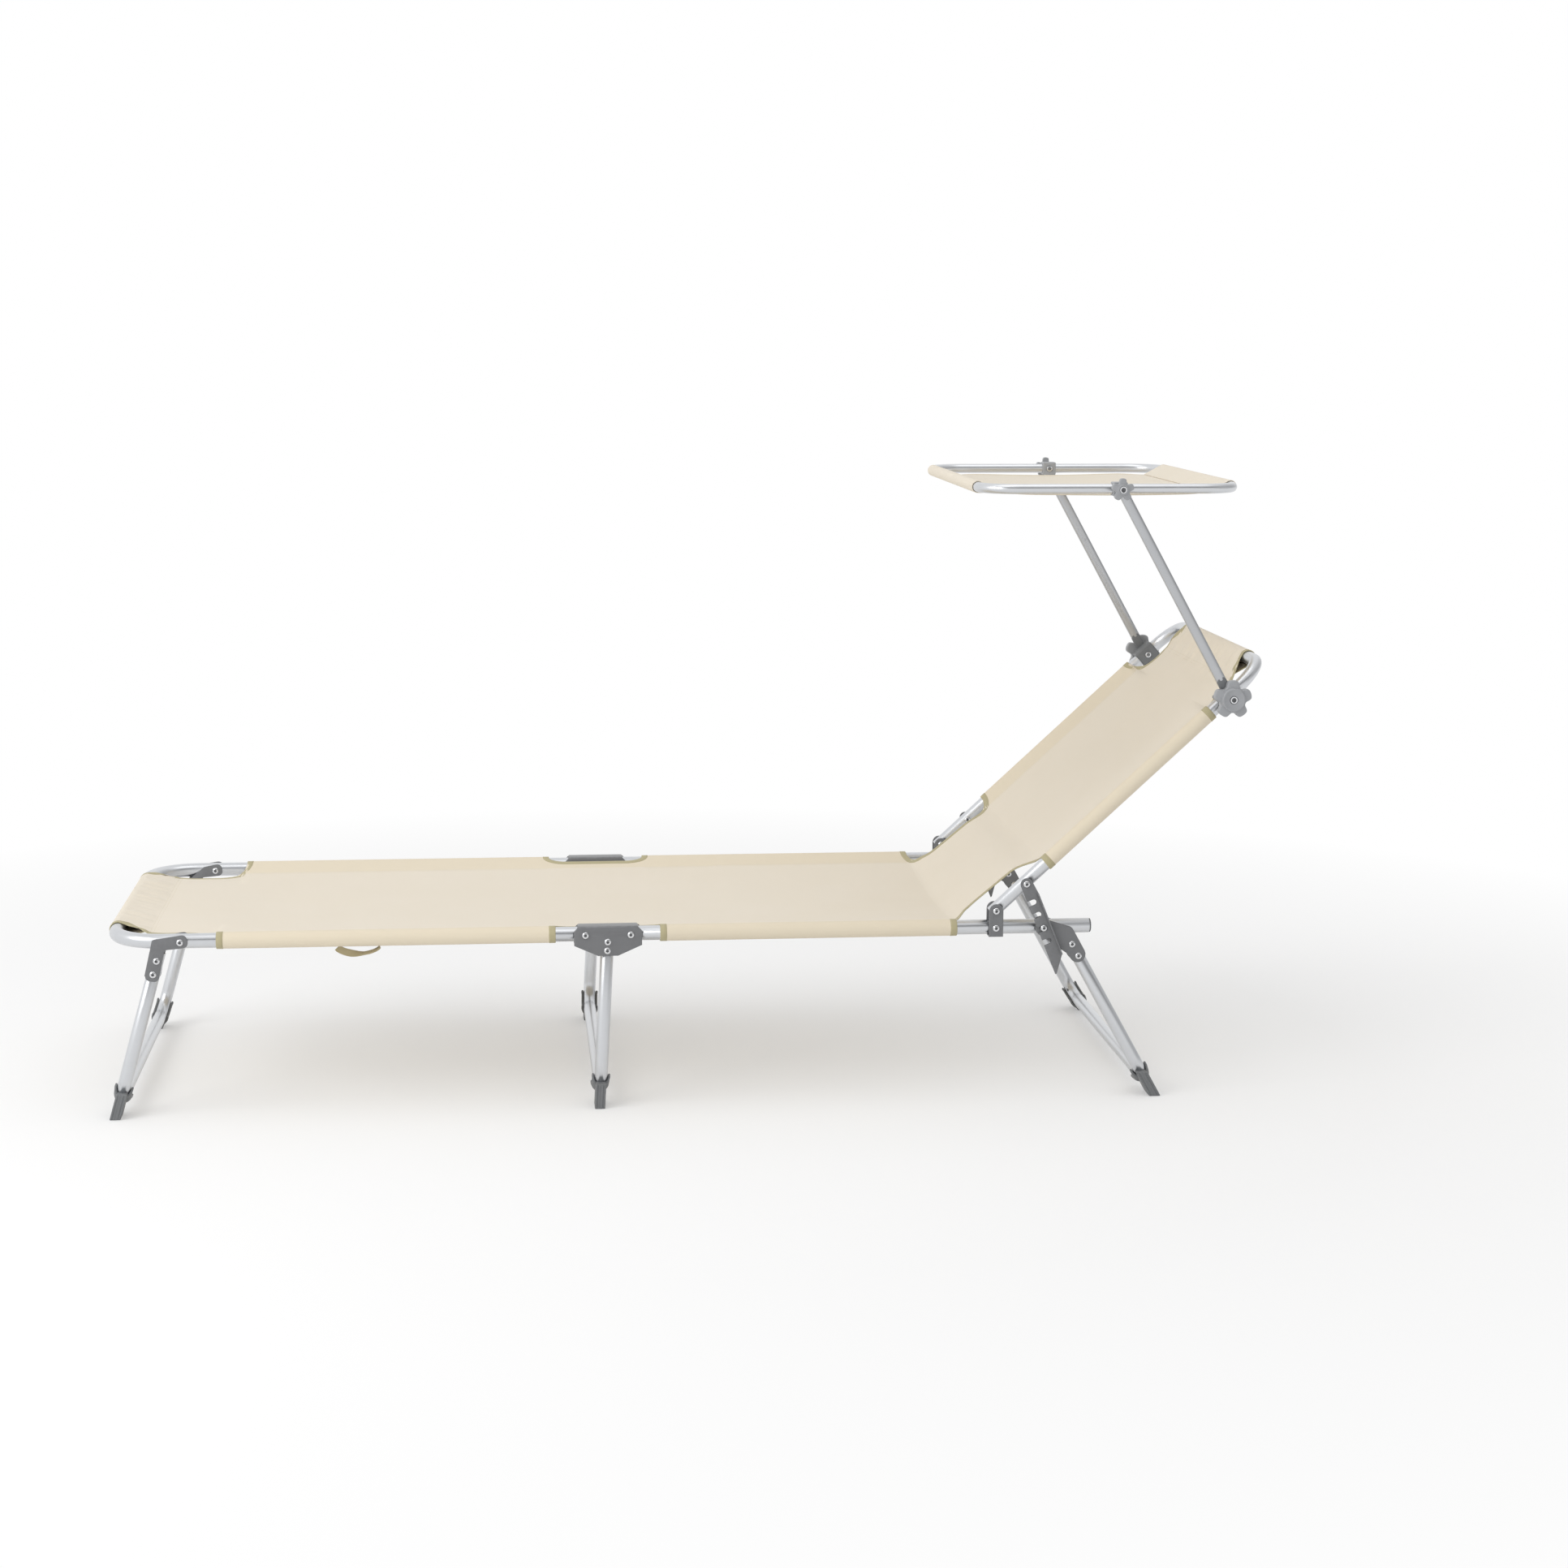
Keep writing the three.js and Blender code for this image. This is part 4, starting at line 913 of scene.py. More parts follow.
# From the block's edge to its middle: the share of its half width, and the level there in heights of a rib
BLOCK_RIBS = ((1.0, -0.9), (0.88, 0), (0.68, 0), (0.6, -0.8), (0.5, -0.8), (0.42, 0), (0.16, 0), (0.1, -0.4))


def saddle(leg, sign, sizes):
    """The shell under the bend of a leg, open towards the leg's inner side, with flared lips."""
    bend, low = sizes.leg_bend, leg.low(sizes)
    lining = sizes.leg_radius + SADDLE_WALL / 2 + 0.0001
    points, faces, rows, columns = [], [], 16, 24
    for k in range(columns + 1):
        turn = SADDLE_TURN * (2 * k / columns - 1)
        open_side = 1 - math.cos(turn)
        start, end = SADDLE_ENDS[0] + 0.008 * open_side, SADDLE_ENDS[1] + 0.0075 * open_side
        for i in range(rows + 1):
            run = start + (end - start) * i / rows
            swing = max(0.0, run) / bend
            radius = lining + SADDLE_FLARE * (1 - ramp(min(run - start, end - run), 0, 0.0035))
            reach = radius * math.cos(turn)
            y = HALF - bend + min(0.0, run) + bend * math.sin(swing) + reach * math.sin(swing)
            z = low + bend * (1 - math.cos(swing)) - reach * math.cos(swing)
            points.append(leg.place(leg.offset + radius * math.sin(turn), sign * y, z))
    for k in range(columns):
        for i in range(rows):
            a, b = k * (rows + 1) + i, (k + 1) * (rows + 1) + i
            faces.append((a, a + 1, b + 1, b))
    made = piece("saddle", points, faces, "foot")
    thickened(made, SADDLE_WALL)
    rounded(made, SADDLE_FLARE, 50)
    return settle(made, 45)


def foot_block(leg, sign):
    """The ribbed block that stands on the ground, drawn along the leg and cut level below."""
    down = leg.place(0, 0, -1) - leg.place(0, 0, 0)
    inward, outward = BLOCK_REACH
    sides = [(side * BLOCK_HALF, outward + deep * BLOCK_RIB) for side, deep in BLOCK_RIBS]
    outer = sides + [(-a, b) for a, b in reversed(sides)]
    inner = [(-BLOCK_HALF, inward + 0.001), (-BLOCK_HALF + 0.001, inward)]
    section = outer + inner + [(-a, b) for a, b in reversed(inner)]
    centre = (inward + outward) / 2
    rings = []
    for rise, share in ((0.0, 0.93), (0.0009, 1.0), (BLOCK_RISE - 0.0015, 1.0), (BLOCK_RISE, 0.86)):
        rings.append([])
        for a, b in section:
            top = leg.place(leg.offset + a * share, sign * (HALF + centre + (b - centre) * share), 0)
            rings[-1].append(top + down * ((top.z - rise) / -down.z))
    return lofted("block", rings, "foot", 30)


class LOUNGER_OT_fittings(Operator):
    """Finishes the brackets, clamps, notched bars and plugs, and builds the foot end brackets and the feet"""

    bl_idname = "lounger.fittings"
    bl_label = "Brackets, bars and feet"

    def execute(self, context):
        sizes = context.scene.lounger_sizes
        for side, sign in SIDES.items():
            for stem in SHEET_METAL:
                node = f"{stem}_{side}"
                fold = COVER_FOLD if stem == "middle_bracket" else 0.0
                carried(eased(node, "steel", 1.7 * sizes.bevel, fold), node)
            carried(foot_bracket(side), "foot_leg_bracket_" + side)
            for stem, (finish, slot) in MOULDED.items():
                node = f"{stem}_{side}"
                carried(eased(node, finish, 1.4 * sizes.bevel), node)
            for kind, leg in LEGS.items():
                node = f"{kind}_leg_foot_{side}"
                made = joined(node + "_moulded", [saddle(leg, sign, sizes), foot_block(leg, sign)])
                carried(made, node)
        return {"FINISHED"}


def stadium(centre, lean, start, end, half, steps=16):
    """A long rounded outline along a leaning line in the side view, as a function of its inset."""
    heading = Vector((math.cos(lean), math.sin(lean)))
    side = Vector((-heading.y, heading.x))

    def outline(inset):
        r = half - inset
        points = []
        for at, from_angle in ((end, -math.pi / 2), (start, math.pi / 2)):
            for k in range(steps + 1):
                angle = from_angle + math.pi * k / steps
                flat = heading * (at + r * math.cos(angle)) + side * r * math.sin(angle)
                points.append((centre.x + flat.x, centre.z + flat.y))
        return points

    return outline


POST_HALF, SHOE_HALF = 0.0075, 0.0074
POST_START = 0.034  # along the post from the lower knob's axis
SHOE_END = 0.030
POST_CROWN, POST_REACH = 0.0032, 0.0068  # height and width of the curve across each face


class LOUNGER_OT_posts(Operator):
    """Builds the shade posts with the plastic shoes in their lower ends"""

    bl_idname = "lounger.posts"
    bl_label = "Shade posts"

    def execute(self, context):
        reach = UPPER_KNOB - LOWER_KNOB
        lean = math.atan2(reach.z, reach.x)
        span = math.hypot(reach.x, reach.z)
        for side in SIDES:
            node = "shade_post_" + side
            low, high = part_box(node)
            outline = stadium(LOWER_KNOB, lean, POST_START, span, POST_HALF)
            layers = rounded_layers(low.y, high.y, POST_CROWN, POST_REACH, 7)
            carried(layered(node + "_bar", outline, layers, "post"), node)
            outline = stadium(LOWER_KNOB, lean, 0.0, SHOE_END, SHOE_HALF)
            layers = rounded_layers(low.y + 0.0001, high.y - 0.0001, 0.0016, 0.0016, 3)
            carried(layered("post_shoe_" + side, outline, layers, "foot"), body="shade_posts")
        return {"FINISHED"}


# Knobs


KNOB_SIDES = 120
LOBES = 5
LOBE_HALF, LOBE_SLOPE = 21.5, 3.2  # degrees from a lobe's middle to its flank, and how softly it falls there


def lobed(centre, size):
    """The star outline of a knob as a function of its inset, with one lobe up."""

    pitch = 360 / LOBES

    def outline(inset):
        points = []
        for k in range(KNOB_SIDES):
            angle = 2 * math.pi * k / KNOB_SIDES
            off = abs((math.degrees(angle) - 90 + pitch / 2) % pitch - pitch / 2)
            share = 1 / (1 + math.exp((off - LOBE_HALF) / LOBE_SLOPE))
            radius = size["valley"] + (size["lobe"] - size["valley"]) * share - inset
            points.append((centre.x + radius * math.cos(angle), centre.z + radius * math.sin(angle)))
        return points

    return outline


KNOBS = {
    "lower": {
        "centre": LOWER_KNOB, "lobe": 0.029, "valley": 0.020, "hub": 0.018, "rise": 0.005,
        "well": (0.0074, 0.0062),
    },
    "upper": {
        "centre": UPPER_KNOB, "lobe": 0.017, "valley": 0.0105, "hub": 0.008, "rise": 0.003,
        "well": (0.0062, 0.0059),
    },
}


def star_knob(node, size, way):
    """A moulded star with a rounded rim, and a raised cap that is dished round its bolt."""
    inner, outer = inner_outer(node, way)
    centre, hub, rise, well = size["centre"], size["hub"], size["rise"], size["well"]
    face = outer - way * rise
    star = lobed(centre, size)
    scale = size["lobe"] / KNOBS["lower"]["lobe"]
    e = 0.0012 * scale  # rounding of the star's rim
    # The star's inset at places along Y from its inner face, and then the radius of the cap
    rim = (
        (0.0040 * scale, inner + way * 0.0004),
        (e, inner + way * 0.0001),
        (e * 0.3, inner + way * e * 0.35),
        (0, inner + way * e * 1.2),
        (0, face - way * e * 1.8),
        (e * 0.25, face - way * e * 0.9),
        (e * 0.9, face - way * e * 0.25),
        (e * 1.9, face),
    )
    cap = (
        (hub + 0.0012 * scale, face + way * 0.0001),
        (hub + 0.0002, face + way * 0.0005),
        (hub - 0.0003, outer - way * rise * 0.45),
        (hub - 0.0009 * scale, outer - way * rise * 0.12),
        (hub - 0.0019 * scale, outer),
        (hub - 0.0032 * scale, outer - way * 0.0001),
        (hub - 0.0040 * scale, outer - way * 0.0007),
        (well[0], outer - way * 0.0009),
        (well[1], outer - way * 0.0014),
        (0.0058, outer - way * 0.0030),
        (0.0030, outer - way * 0.0032),
    )
    rings = [at_y(star(inset), y) for inset, y in rim]
    rings += [at_y(circle(centre, radius, KNOB_SIDES), y) for radius, y in cap]
    return lofted(node + "_moulded", rings, "knob", 42, ends=(0,))


class LOUNGER_OT_knobs(Operator):
    """Builds the large lower and small upper star knobs"""

    bl_idname = "lounger.knobs"
    bl_label = "Star knobs"

    def execute(self, context):
        for level, size in KNOBS.items():
            for side, sign in SIDES.items():
                node = f"{level}_knob_{side}"
                carried(star_knob(node, size, sign), node)
        return {"FINISHED"}


# Cloth


SIDE_SEAM = 0.042  # plane of a side frame to the seam of the sling's side sleeve
FOOT_HEM, HEAD_HEM = 0.049, 0.044  # axis of an end tube to the seam of its sleeve
SHADE_HEM = 0.032
SEAM_LEVEL = -0.0012  # height of the seam of a sleeve, from its tube's axis
WRAP_START = 0.003  # from a tube's axis inboard to where the cloth is laid out round it
NEAR, CLOSEST = 1e-9, 2e-4  # slack in comparing runs, and the least distance between two rows


def ramp(value, low, high):
    """Rises smoothly from 0 at the low value to 1 at the high one."""
    share = min(1.0, max(0.0, (value - low) / (high - low)))
    return share * share * (3 - 2 * share)


class Wrap:
    """Cloth round a tube in a plane: from the tube's top, round its outer side and back up to a seam.
    Places are pairs of outward and upward, from the tube's axis."""

    def __init__(self, radius, seam, inboard=0.0):
        self.radius = radius
        self.first = -math.asin(inboard / radius)
        far = math.hypot(*seam)
        toward = math.atan2(seam[0], seam[1]) % (2 * math.pi)
        self.last = toward - math.acos(radius / far)
        self.arc = radius * (self.last - self.first)
        self.leave = (radius * math.sin(self.last), radius * math.cos(self.last))
        self.seam = seam
        self.reach = self.arc + math.dist(self.leave, seam)

    def at(self, distance):
        """Place and outward normal at a distance along the cloth."""
        turn = self.first + distance / self.radius
        if distance <= self.arc:
            outward = (math.sin(turn), math.cos(turn))
            return (self.radius * outward[0], self.radius * outward[1]), outward
        share = (distance - self.arc) / (self.reach - self.arc)
        place = tuple(a + (b - a) * share for a, b in zip(self.leave, self.seam))
        return place, (math.sin(self.last), math.cos(self.last))

    def drop(self, inboard):
        """How far below the tube's top the upper layer lies, at a distance inboard of the axis."""
        far = -self.seam[0]
        touch = self.radius**2 / far
        if inboard <= touch:
            return self.radius - math.sqrt(self.radius**2 - inboard**2)
        level = self.radius * math.sqrt(1 - (self.radius / far) ** 2)
        return self.radius - level * (1 - min(1.0, (inboard - touch) / (far - touch)))

    def steps(self, round_steps=20, flat_steps=3):
        bent = [self.arc * k / round_steps for k in range(1, round_steps + 1)]
        flat = [self.arc + (self.reach - self.arc) * k / flat_steps for k in range(1, flat_steps + 1)]
        return bent + flat


class Cloth:
    """A cut of cloth on its tubes. Its cut is measured by a run along it and an across from its middle."""

    lift = 0.00115  # middle of the cloth above a tube
    sleeves = ()  # first and last run of each side sleeve

    def place(self, run, across, off=0.0):
        """The point of the cut in the frame, moved off the cloth's middle along its normal."""
        x, z, heading = self.spine(run)
        normal = Vector((-math.sin(heading), 0, math.cos(heading)))
        if abs(across) <= self.full:
            rise = self.height(run, across) + off
            return Vector((x, across, z)) + normal * rise
        wrap = self.side_wrap(run)
        sign = math.copysign(1, across)
        (out, up), (normal_out, normal_up) = wrap.at(abs(across) - self.full)
        out += normal_out * off
        up += normal_up * off
        axis = Vector((x, 0, z)) - normal * wrap.radius
        return axis + normal * up + Vector((0, sign * (HALF + out), 0))

    def in_sleeve(self, low, high):
        return any(start - NEAR <= low and high <= end + NEAR for start, end in self.sleeves)


class SlingCloth(Cloth):
    """The long sling: round the foot tube, level along the rails, up the back and round the head tube."""

    full = HALF - WRAP_START

    def __init__(self, sizes):
        self.rail, self.back = sizes.rail_radius + self.lift, sizes.back_radius + self.lift
        self.sag = sizes.sag
        self.seat_z = RAIL_Z + self.rail
        self.start_x = FOOT_X + sizes.rail_radius
        self.end_half = HALF - 0.085
        self.seam_half = HALF - SIDE_SEAM
        self.foot_wrap = Wrap(self.rail, (-FOOT_HEM, SEAM_LEVEL))
        self.head_wrap = Wrap(self.back, (-HEAD_HEM, SEAM_LEVEL))
        self.seat_sides = Wrap(self.rail, (-SIDE_SEAM, SEAM_LEVEL), WRAP_START)
        self.back_sides = Wrap(self.back, (-SIDE_SEAM, SEAM_LEVEL), WRAP_START)
        self.hip_runs()
        middle_run = MIDDLE_X - self.start_x
        # Runs where the side sleeves start and end, clear of corners, middle brackets and hip
        self.sleeves = [
            (0.166 - sizes.rail_radius, middle_run - 0.079),
            (middle_run + 0.079, self.bend_start),
            (self.hip_end, self.back_run(sizes.back_length - 0.106)),
        ]
        self.length = self.back_run(sizes.back_length)
        self.cut = (-self.foot_wrap.reach, self.length + self.head_wrap.reach)
        # Start and end of each free edge, its depth inboard of the rail and the length of its rounding
        self.openings = [
            (-math.inf, self.sleeves[0][0], 0.060, 0.050),
            (self.sleeves[0][1], self.sleeves[1][0], 0.0185, 0.030),
            (self.sleeves[1][1], self.sleeves[2][0], 0.062, 0.046),
            (self.sleeves[2][1], math.inf, 0.056, 0.050),
        ]

    def hip_runs(self):
        """The sling turns up where the seat's sleeve ends, and runs straight to where the back's begins."""
        self.fillet = 0.045
        self.back_mouth = 0.105
        seat_end = BACK_PIVOT.x - 0.060
        mouth = back_place(self.back_mouth, 0, self.back)
        self.turn = BACK_LEAN
        for _ in range(8):
            corner = seat_end + self.fillet * math.tan(self.turn / 2)
            self.turn = math.atan2(mouth.z - self.seat_z, mouth.x - corner)
        self.bend_start = seat_end - self.start_x
        self.bend_end = self.bend_start + self.fillet * self.turn
        straight = math.hypot(mouth.x - corner, mouth.z - self.seat_z) - self.fillet * math.tan(self.turn / 2)
        self.hip_end = self.bend_end + straight

    def back_run(self, along):
        return self.hip_end + along - self.back_mouth

    def side_wrap(self, run):
        return self.seat_sides if run < self.bend_end else self.back_sides

    def spine(self, run):
        """Place and heading of the sleeves' top line in the side view."""
        if run < 0:
            (out, up), (normal_out, normal_up) = self.foot_wrap.at(-run)
            return self.start_x - out, RAIL_Z + up, math.atan2(normal_out, normal_up)
        if run <= self.bend_start:
            return self.start_x + run, self.seat_z, 0.0
        if run <= self.hip_end:
            turn = min(self.turn, (run - self.bend_start) / self.fillet)
            x = self.start_x + self.bend_start + self.fillet * math.sin(turn)
            z = self.seat_z + self.fillet * (1 - math.cos(turn))
            rest = max(0.0, run - self.bend_end)
            return x + rest * math.cos(turn), z + rest * math.sin(turn), turn
        if run <= self.length:
            at = back_place(self.back_mouth + run - self.hip_end, 0, self.back)
            return at.x, at.z, BACK_LEAN
        (out, up), (normal_out, normal_up) = self.head_wrap.at(run - self.length)
        at = back_place(self.back_mouth + self.length - self.hip_end + out, 0, up)
        return at.x, at.z, BACK_LEAN - math.atan2(normal_out, normal_up)

    def half(self, run):
        """Half width of the cut: to the tubes in the sleeves, and less with round corners at the openings."""
        for start, end, depth, curve in self.openings:
            if start + NEAR < run < end - NEAR:
                share = min(1.0, min(run - start, end - run) / curve)
                width = self.full - (self.full - HALF + depth) * math.sqrt(1 - (1 - share) ** 2)
                at_end = 1 - ramp(min(run, self.length - run), 0, 0.055)
                return width - (HALF - depth - self.end_half) * at_end
        return self.full

    def height(self, run, across):
        """How far the sheet lies from the sleeves' top line, with its sag, gathers and soft waves."""
        if not 0 <= run <= self.length:
            return 0.0
        end = min(run, self.length - run)
        near_middle = max(0.0, 1 - (across / self.seam_half) ** 2)
        sag = self.sag * near_middle * ramp(end, FOOT_HEM, 0.250)
        slack = ramp(HALF - self.half(run), 0, 0.030) * ramp(abs(across), 0.14, 0.24)
        slack *= 0.0042 * ramp(end, 0.022, 0.075) * (1 - ramp(end, 0.15, 0.30))
        drop = self.drop(run, across, end)
        return self.gathers(run, across, end, near_middle) + self.waves(run, across, end) - drop - sag - slack

    def drop(self, run, across, end):
        """How far the tubes round the sheet hold it below the sleeves' top line."""
        inboard = HALF - abs(across)
        on_back = ramp(run, self.bend_start, self.hip_end)
        side = self.seat_sides.drop(inboard) * (1 - on_back) + self.back_sides.drop(inboard) * on_back
        held = min(side, (self.foot_wrap if run < self.length / 2 else self.head_wrap).drop(end))
        hip = ramp(run, self.bend_start, self.bend_start + 0.025)
        hip *= 1 - ramp(run, self.hip_end - 0.05, self.hip_end)
        return held * (1 - 0.85 * hip)

    def gathers(self, run, across, end, near_middle):
        """Ridges in the end sleeves, and the soft pulls that run on from their seams."""
        if end < FOOT_HEM:
            ridge = max(-0.0008, noise.noise(Vector((across * 58, run * 6, 1.3))) * 0.0062)
            return ridge * math.sin(math.pi * end / FOOT_HEM) ** 0.8
        fading = math.exp(-(((end - FOOT_HEM) / 0.03) ** 2))
        return fading * noise.noise(Vector((across * 36, 0.25 + run * 5, 1.3))) * 0.0007 * near_middle

    def waves(self, run, across, end):
        """Shallow waves in the free part of the sheet."""
        wave = noise.noise(Vector((run * 5, across * 7, 3.1))) * 0.0012
        wave += noise.noise(Vector((run * 15 + across * 6, across * 22, 7.7))) * 0.0004
        return wave * ramp(self.seam_half - abs(across), 0, 0.06) * ramp(end, FOOT_HEM, 0.12)

    def runs(self, start, end, step=0.011):
        """Rows of the cut, with those that the seams, the sleeves' ends and the cut-outs need."""
        needed = {start, end, self.bend_start, self.bend_end, FOOT_HEM, self.length - HEAD_HEM}
        for low, high, _, curve in self.openings:
            for edge, way in ((low, 1), (high, -1)):
                if math.isfinite(edge):
                    needed.update(edge + way * curve * (1 - math.cos(math.pi / 2 * k / 8)) for k in range(9))
        for wrap, edge, way in ((self.foot_wrap, 0.0, -1), (self.head_wrap, self.length, 1)):
            needed.update(edge + way * d for d in wrap.steps())
            needed.update(edge - way * wrap.radius * k / 6 for k in range(7))
        needed = sorted(r for r in needed if start - NEAR <= r <= end + NEAR)
        pairs = zip(needed, [-math.inf, *needed])
        needed = [r for r, before in pairs if r - before > CLOSEST or r in (start, end)]
        count = max(1, round((end - start) / step))
        even = (start + (end - start) * k / count for k in range(count + 1))
        free = [r for r in even if 0 < r < self.length and all(abs(r - n) > 0.4 * step for n in needed)]
        return sorted(needed + free)

    def columns(self, count, flat=6):
        """Shares of the half width at the columns of the cut, one of them on the sleeve's seam."""
        inner = count - flat
        seam = self.seam_half / self.full
        beyond = [seam + (1 - seam) * k / flat for k in range(1, flat + 1)]
        return [seam * k / inner for k in range(inner + 1)] + beyond


class ShadeCloth(Cloth):
    """The sunshade's cloth: drawn under the end tubes, round them and back on top, with free side edges."""

    full = 1.0  # no side sleeves, so nothing of it goes round a side tube

    def __init__(self, sizes):
        self.radius = sizes.shade_radius + self.lift
        self.length = sizes.shade_length
        self.start_x = UPPER_KNOB.x - sizes.shade_front
        self.sleeve_half = sizes.shade_half - 0.057
        self.wide_half = sizes.shade_half - 0.019
        self.wrap = Wrap(self.radius, (-SHADE_HEM, self.radius + SEAM_LEVEL))
        self.cut = (-self.wrap.reach, self.length + self.wrap.reach)

    def spine(self, run):
        x, z = self.start_x + run, UPPER_KNOB.z
        if 0 <= run <= self.length:
            return x, z - self.radius, 0.0
        way, edge = (-1, 0.0) if run < 0 else (1, self.length)
        (out, up), (normal_out, normal_up) = self.wrap.at(way * (run - edge))
        return self.start_x + edge + way * out, z - up, math.atan2(way * normal_out, normal_up)

    def half(self, run):
        end = min(run, self.length - run)
        return self.sleeve_half + (self.wide_half - self.sleeve_half) * ramp(end, 0.0075, 0.090)

    def height(self, run, across):
        """How far the sheet lies above its place at the tubes, with its sag, waves and pulls."""
        if not 0 <= run <= self.length:
            return 0.0
        end = min(run, self.length - run)
        side = 1 - 0.7 * (across / self.half(run)) ** 2
        sag = 0.006 * side * ramp(end, 0.034, self.length / 2)
        slack = ramp(end, 0.036, 0.08)
        wave = noise.noise(Vector((run * 7, across * 9, 5.3))) * 0.0010
        pulls = 0.0004 * math.sin(across * 130) * (1 - ramp(end, 0.05, 0.14)) * ramp(end, 0.036, 0.05)
        return -sag + slack * wave + pulls

    def runs(self, start, end, step=0.010):
        wraps = [way * d + edge for edge, way in ((0, -1), (self.length, 1)) for d in self.wrap.steps()]
        count = round(self.length / step)
        return sorted(wraps + [self.length * k / count for k in range(count + 1)])

    def columns(self, count):
        return [k / count for k in range(count + 1)]


def cloth_mesh(name, cloth, start, end, columns=49):
    """The cloth between two runs, in two layers with a closed edge, and the size and area of its cut."""
    rows = cloth.runs(start, end)
    shares = cloth.columns(columns)
    wraps = cloth.side_wrap(rows[len(rows) // 2]).steps() if cloth.sleeves else []
    points, cuts_at, index = [], [], {}
    for i, run in enumerate(rows):
        half = cloth.half(run)
        steps = cloth.side_wrap(run).steps() if cloth.in_sleeve(run, run) else []
        for j in range(-columns - len(steps), columns + len(steps) + 1):
            extra = abs(j) - columns
            across = math.copysign(half * shares[abs(j)] if extra <= 0 else half + steps[extra - 1], j)
            index[i, j] = len(points)
            points.append(cloth.place(run, across))
            cuts_at.append((across, run))
    faces, cuts, area = [], [], 0.0
    for i in range(len(rows) - 1):
        reach = columns + (len(wraps) if cloth.in_sleeve(rows[i], rows[i + 1]) else 0)
        for j in range(-reach, reach):
            corners = (index[i, j], index[i + 1, j], index[i + 1, j + 1], index[i, j + 1])
            flat = [Vector((*cuts_at[c], 0)) for c in corners]
            area += (flat[2] - flat[0]).cross(flat[3] - flat[1]).length / 2
            faces.append(corners)
            cuts.append(tuple(cuts_at[c] for c in corners))
    made = piece(name, points, faces, "cloth", cuts)
    thickened(made, bpy.context.scene.lounger_sizes.cloth)
    wide, long = 2 * max(abs(u) for u, _ in cuts_at), rows[-1] - rows[0]
    return settle(made, 62), (wide, long), min(area, wide * long)


def headed(path):
    """The places of a path, each with the path's heading there, as if it ran on the cut's right half."""
    for i, (run, across) in enumerate(path):
        before, after = path[max(0, i - 1)], path[min(len(path) - 1, i + 1)]
        heading = Vector((after[0] - before[0], abs(after[1]) - abs(before[1]))).normalized()
        yield run, abs(across), math.copysign(1, across), heading


def taped(cloth, path):
    """A tape folded over the edge of the cut along a path, sewn on both faces."""
    wide = bpy.context.scene.lounger_sizes.binding
    # Depth from the edge, and height off the cloth's middle
    upper = [(wide, 0.00045), (wide - 0.0002, 0.00078), (0.5 * wide, 0.00086), (0.0004, 0.0008)]
    upper.append((-0.0004, 0.0005))
    section = [*upper, (-0.0006, 0.0), *((depth, -off) for depth, off in reversed(upper))]
    points = []
    for run, across, sign, heading in headed(path):
        for depth, off in section:
            points.append(cloth.place(run + heading.y * depth, sign * (across - heading.x * depth), off))
    runs = list(accumulate((math.dist(a, b) for a, b in zip(path, path[1:])), initial=0.0))
    # The lower half is laid out beside the upper one
    spans = [
        (low + 0.02 * (k >= len(upper)), high + 0.02 * (k >= len(upper)))
        for k, ((low, _), (high, _)) in enumerate(zip(section, section[1:]))
    ]
    faces, cuts = swept(len(path), len(section), runs, spans)
    return tidy(piece("tape", points, faces, "binding", cuts), 60, weld=False)


STITCH_RISE, STITCH_HALF = 0.00028, 0.00030


def stitched(name, cloth, lines, off):
    """Rows of stitches along lines of the cut, just proud of the cloth."""
    pitch = bpy.context.scene.lounger_sizes.stitch
    points, faces = [], []
    for line in lines:
        for (run_a, across_a), (run_b, across_b) in zip(line, line[1:]):
            count = max(1, round(math.dist((run_a, across_a), (run_b, across_b)) / pitch))
            step = ((run_b - run_a) / count, (across_b - across_a) / count)
            for k in range(count):
                spots = [(run_a + step[0] * (k + s), across_a + step[1] * (k + s)) for s in (0.14, 0.5, 0.86)]
                first, centre, last = (cloth.place(*spot, off) for spot in spots)
                top = cloth.place(*spots[1], off + STITCH_RISE)
                side = (last - first).normalized().cross(top - centre).normalized() * STITCH_HALF
                base = len(points)
                points.extend([first, centre + side, last, centre - side, top])
                faces.extend((base + a, base + (a + 1) % 4, base + 4) for a in range(4))
    return tidy(piece(name, points, faces, "thread"), 180)


def finely(path, step=0.006):
    """A path of the cut with no stretch longer than one step."""
    fine = [path[0]]
    for a, b in zip(path, path[1:]):
        count = max(1, math.ceil(math.dist(a, b) / step))
        fine.extend(tuple(p + (q - p) * k / count for p, q in zip(a, b)) for k in range(1, count + 1))
    return fine


def edge_path(cloth, low, high, sign):
    """The edge of the sling from one sleeve or end hem to the next, as places of its cut."""
    rows = cloth.runs(max(0.0, low), min(cloth.length, high))
    path = [(run, cloth.half(run)) for run in rows if 0 <= run <= cloth.length]
    if low > 0:
        path = [(low, cloth.full + d) for d in reversed(cloth.side_wrap(low).steps())] + path
    else:
        path = [(-d, cloth.end_half) for d in reversed(cloth.foot_wrap.steps())] + path
    if high < cloth.length:
        path += [(high, cloth.full + d) for d in cloth.side_wrap(high).steps()]
    else:
        path += [(cloth.length + d, cloth.end_half) for d in cloth.head_wrap.steps()]
    return [(run, sign * across) for run, across in finely(path)]


def inset_path(path, depth):
    """A path of the cut moved inward from the edge."""
    return [
        (run + heading.y * depth, sign * (across - heading.x * depth))
        for run, across, sign, heading in headed(path)
    ]


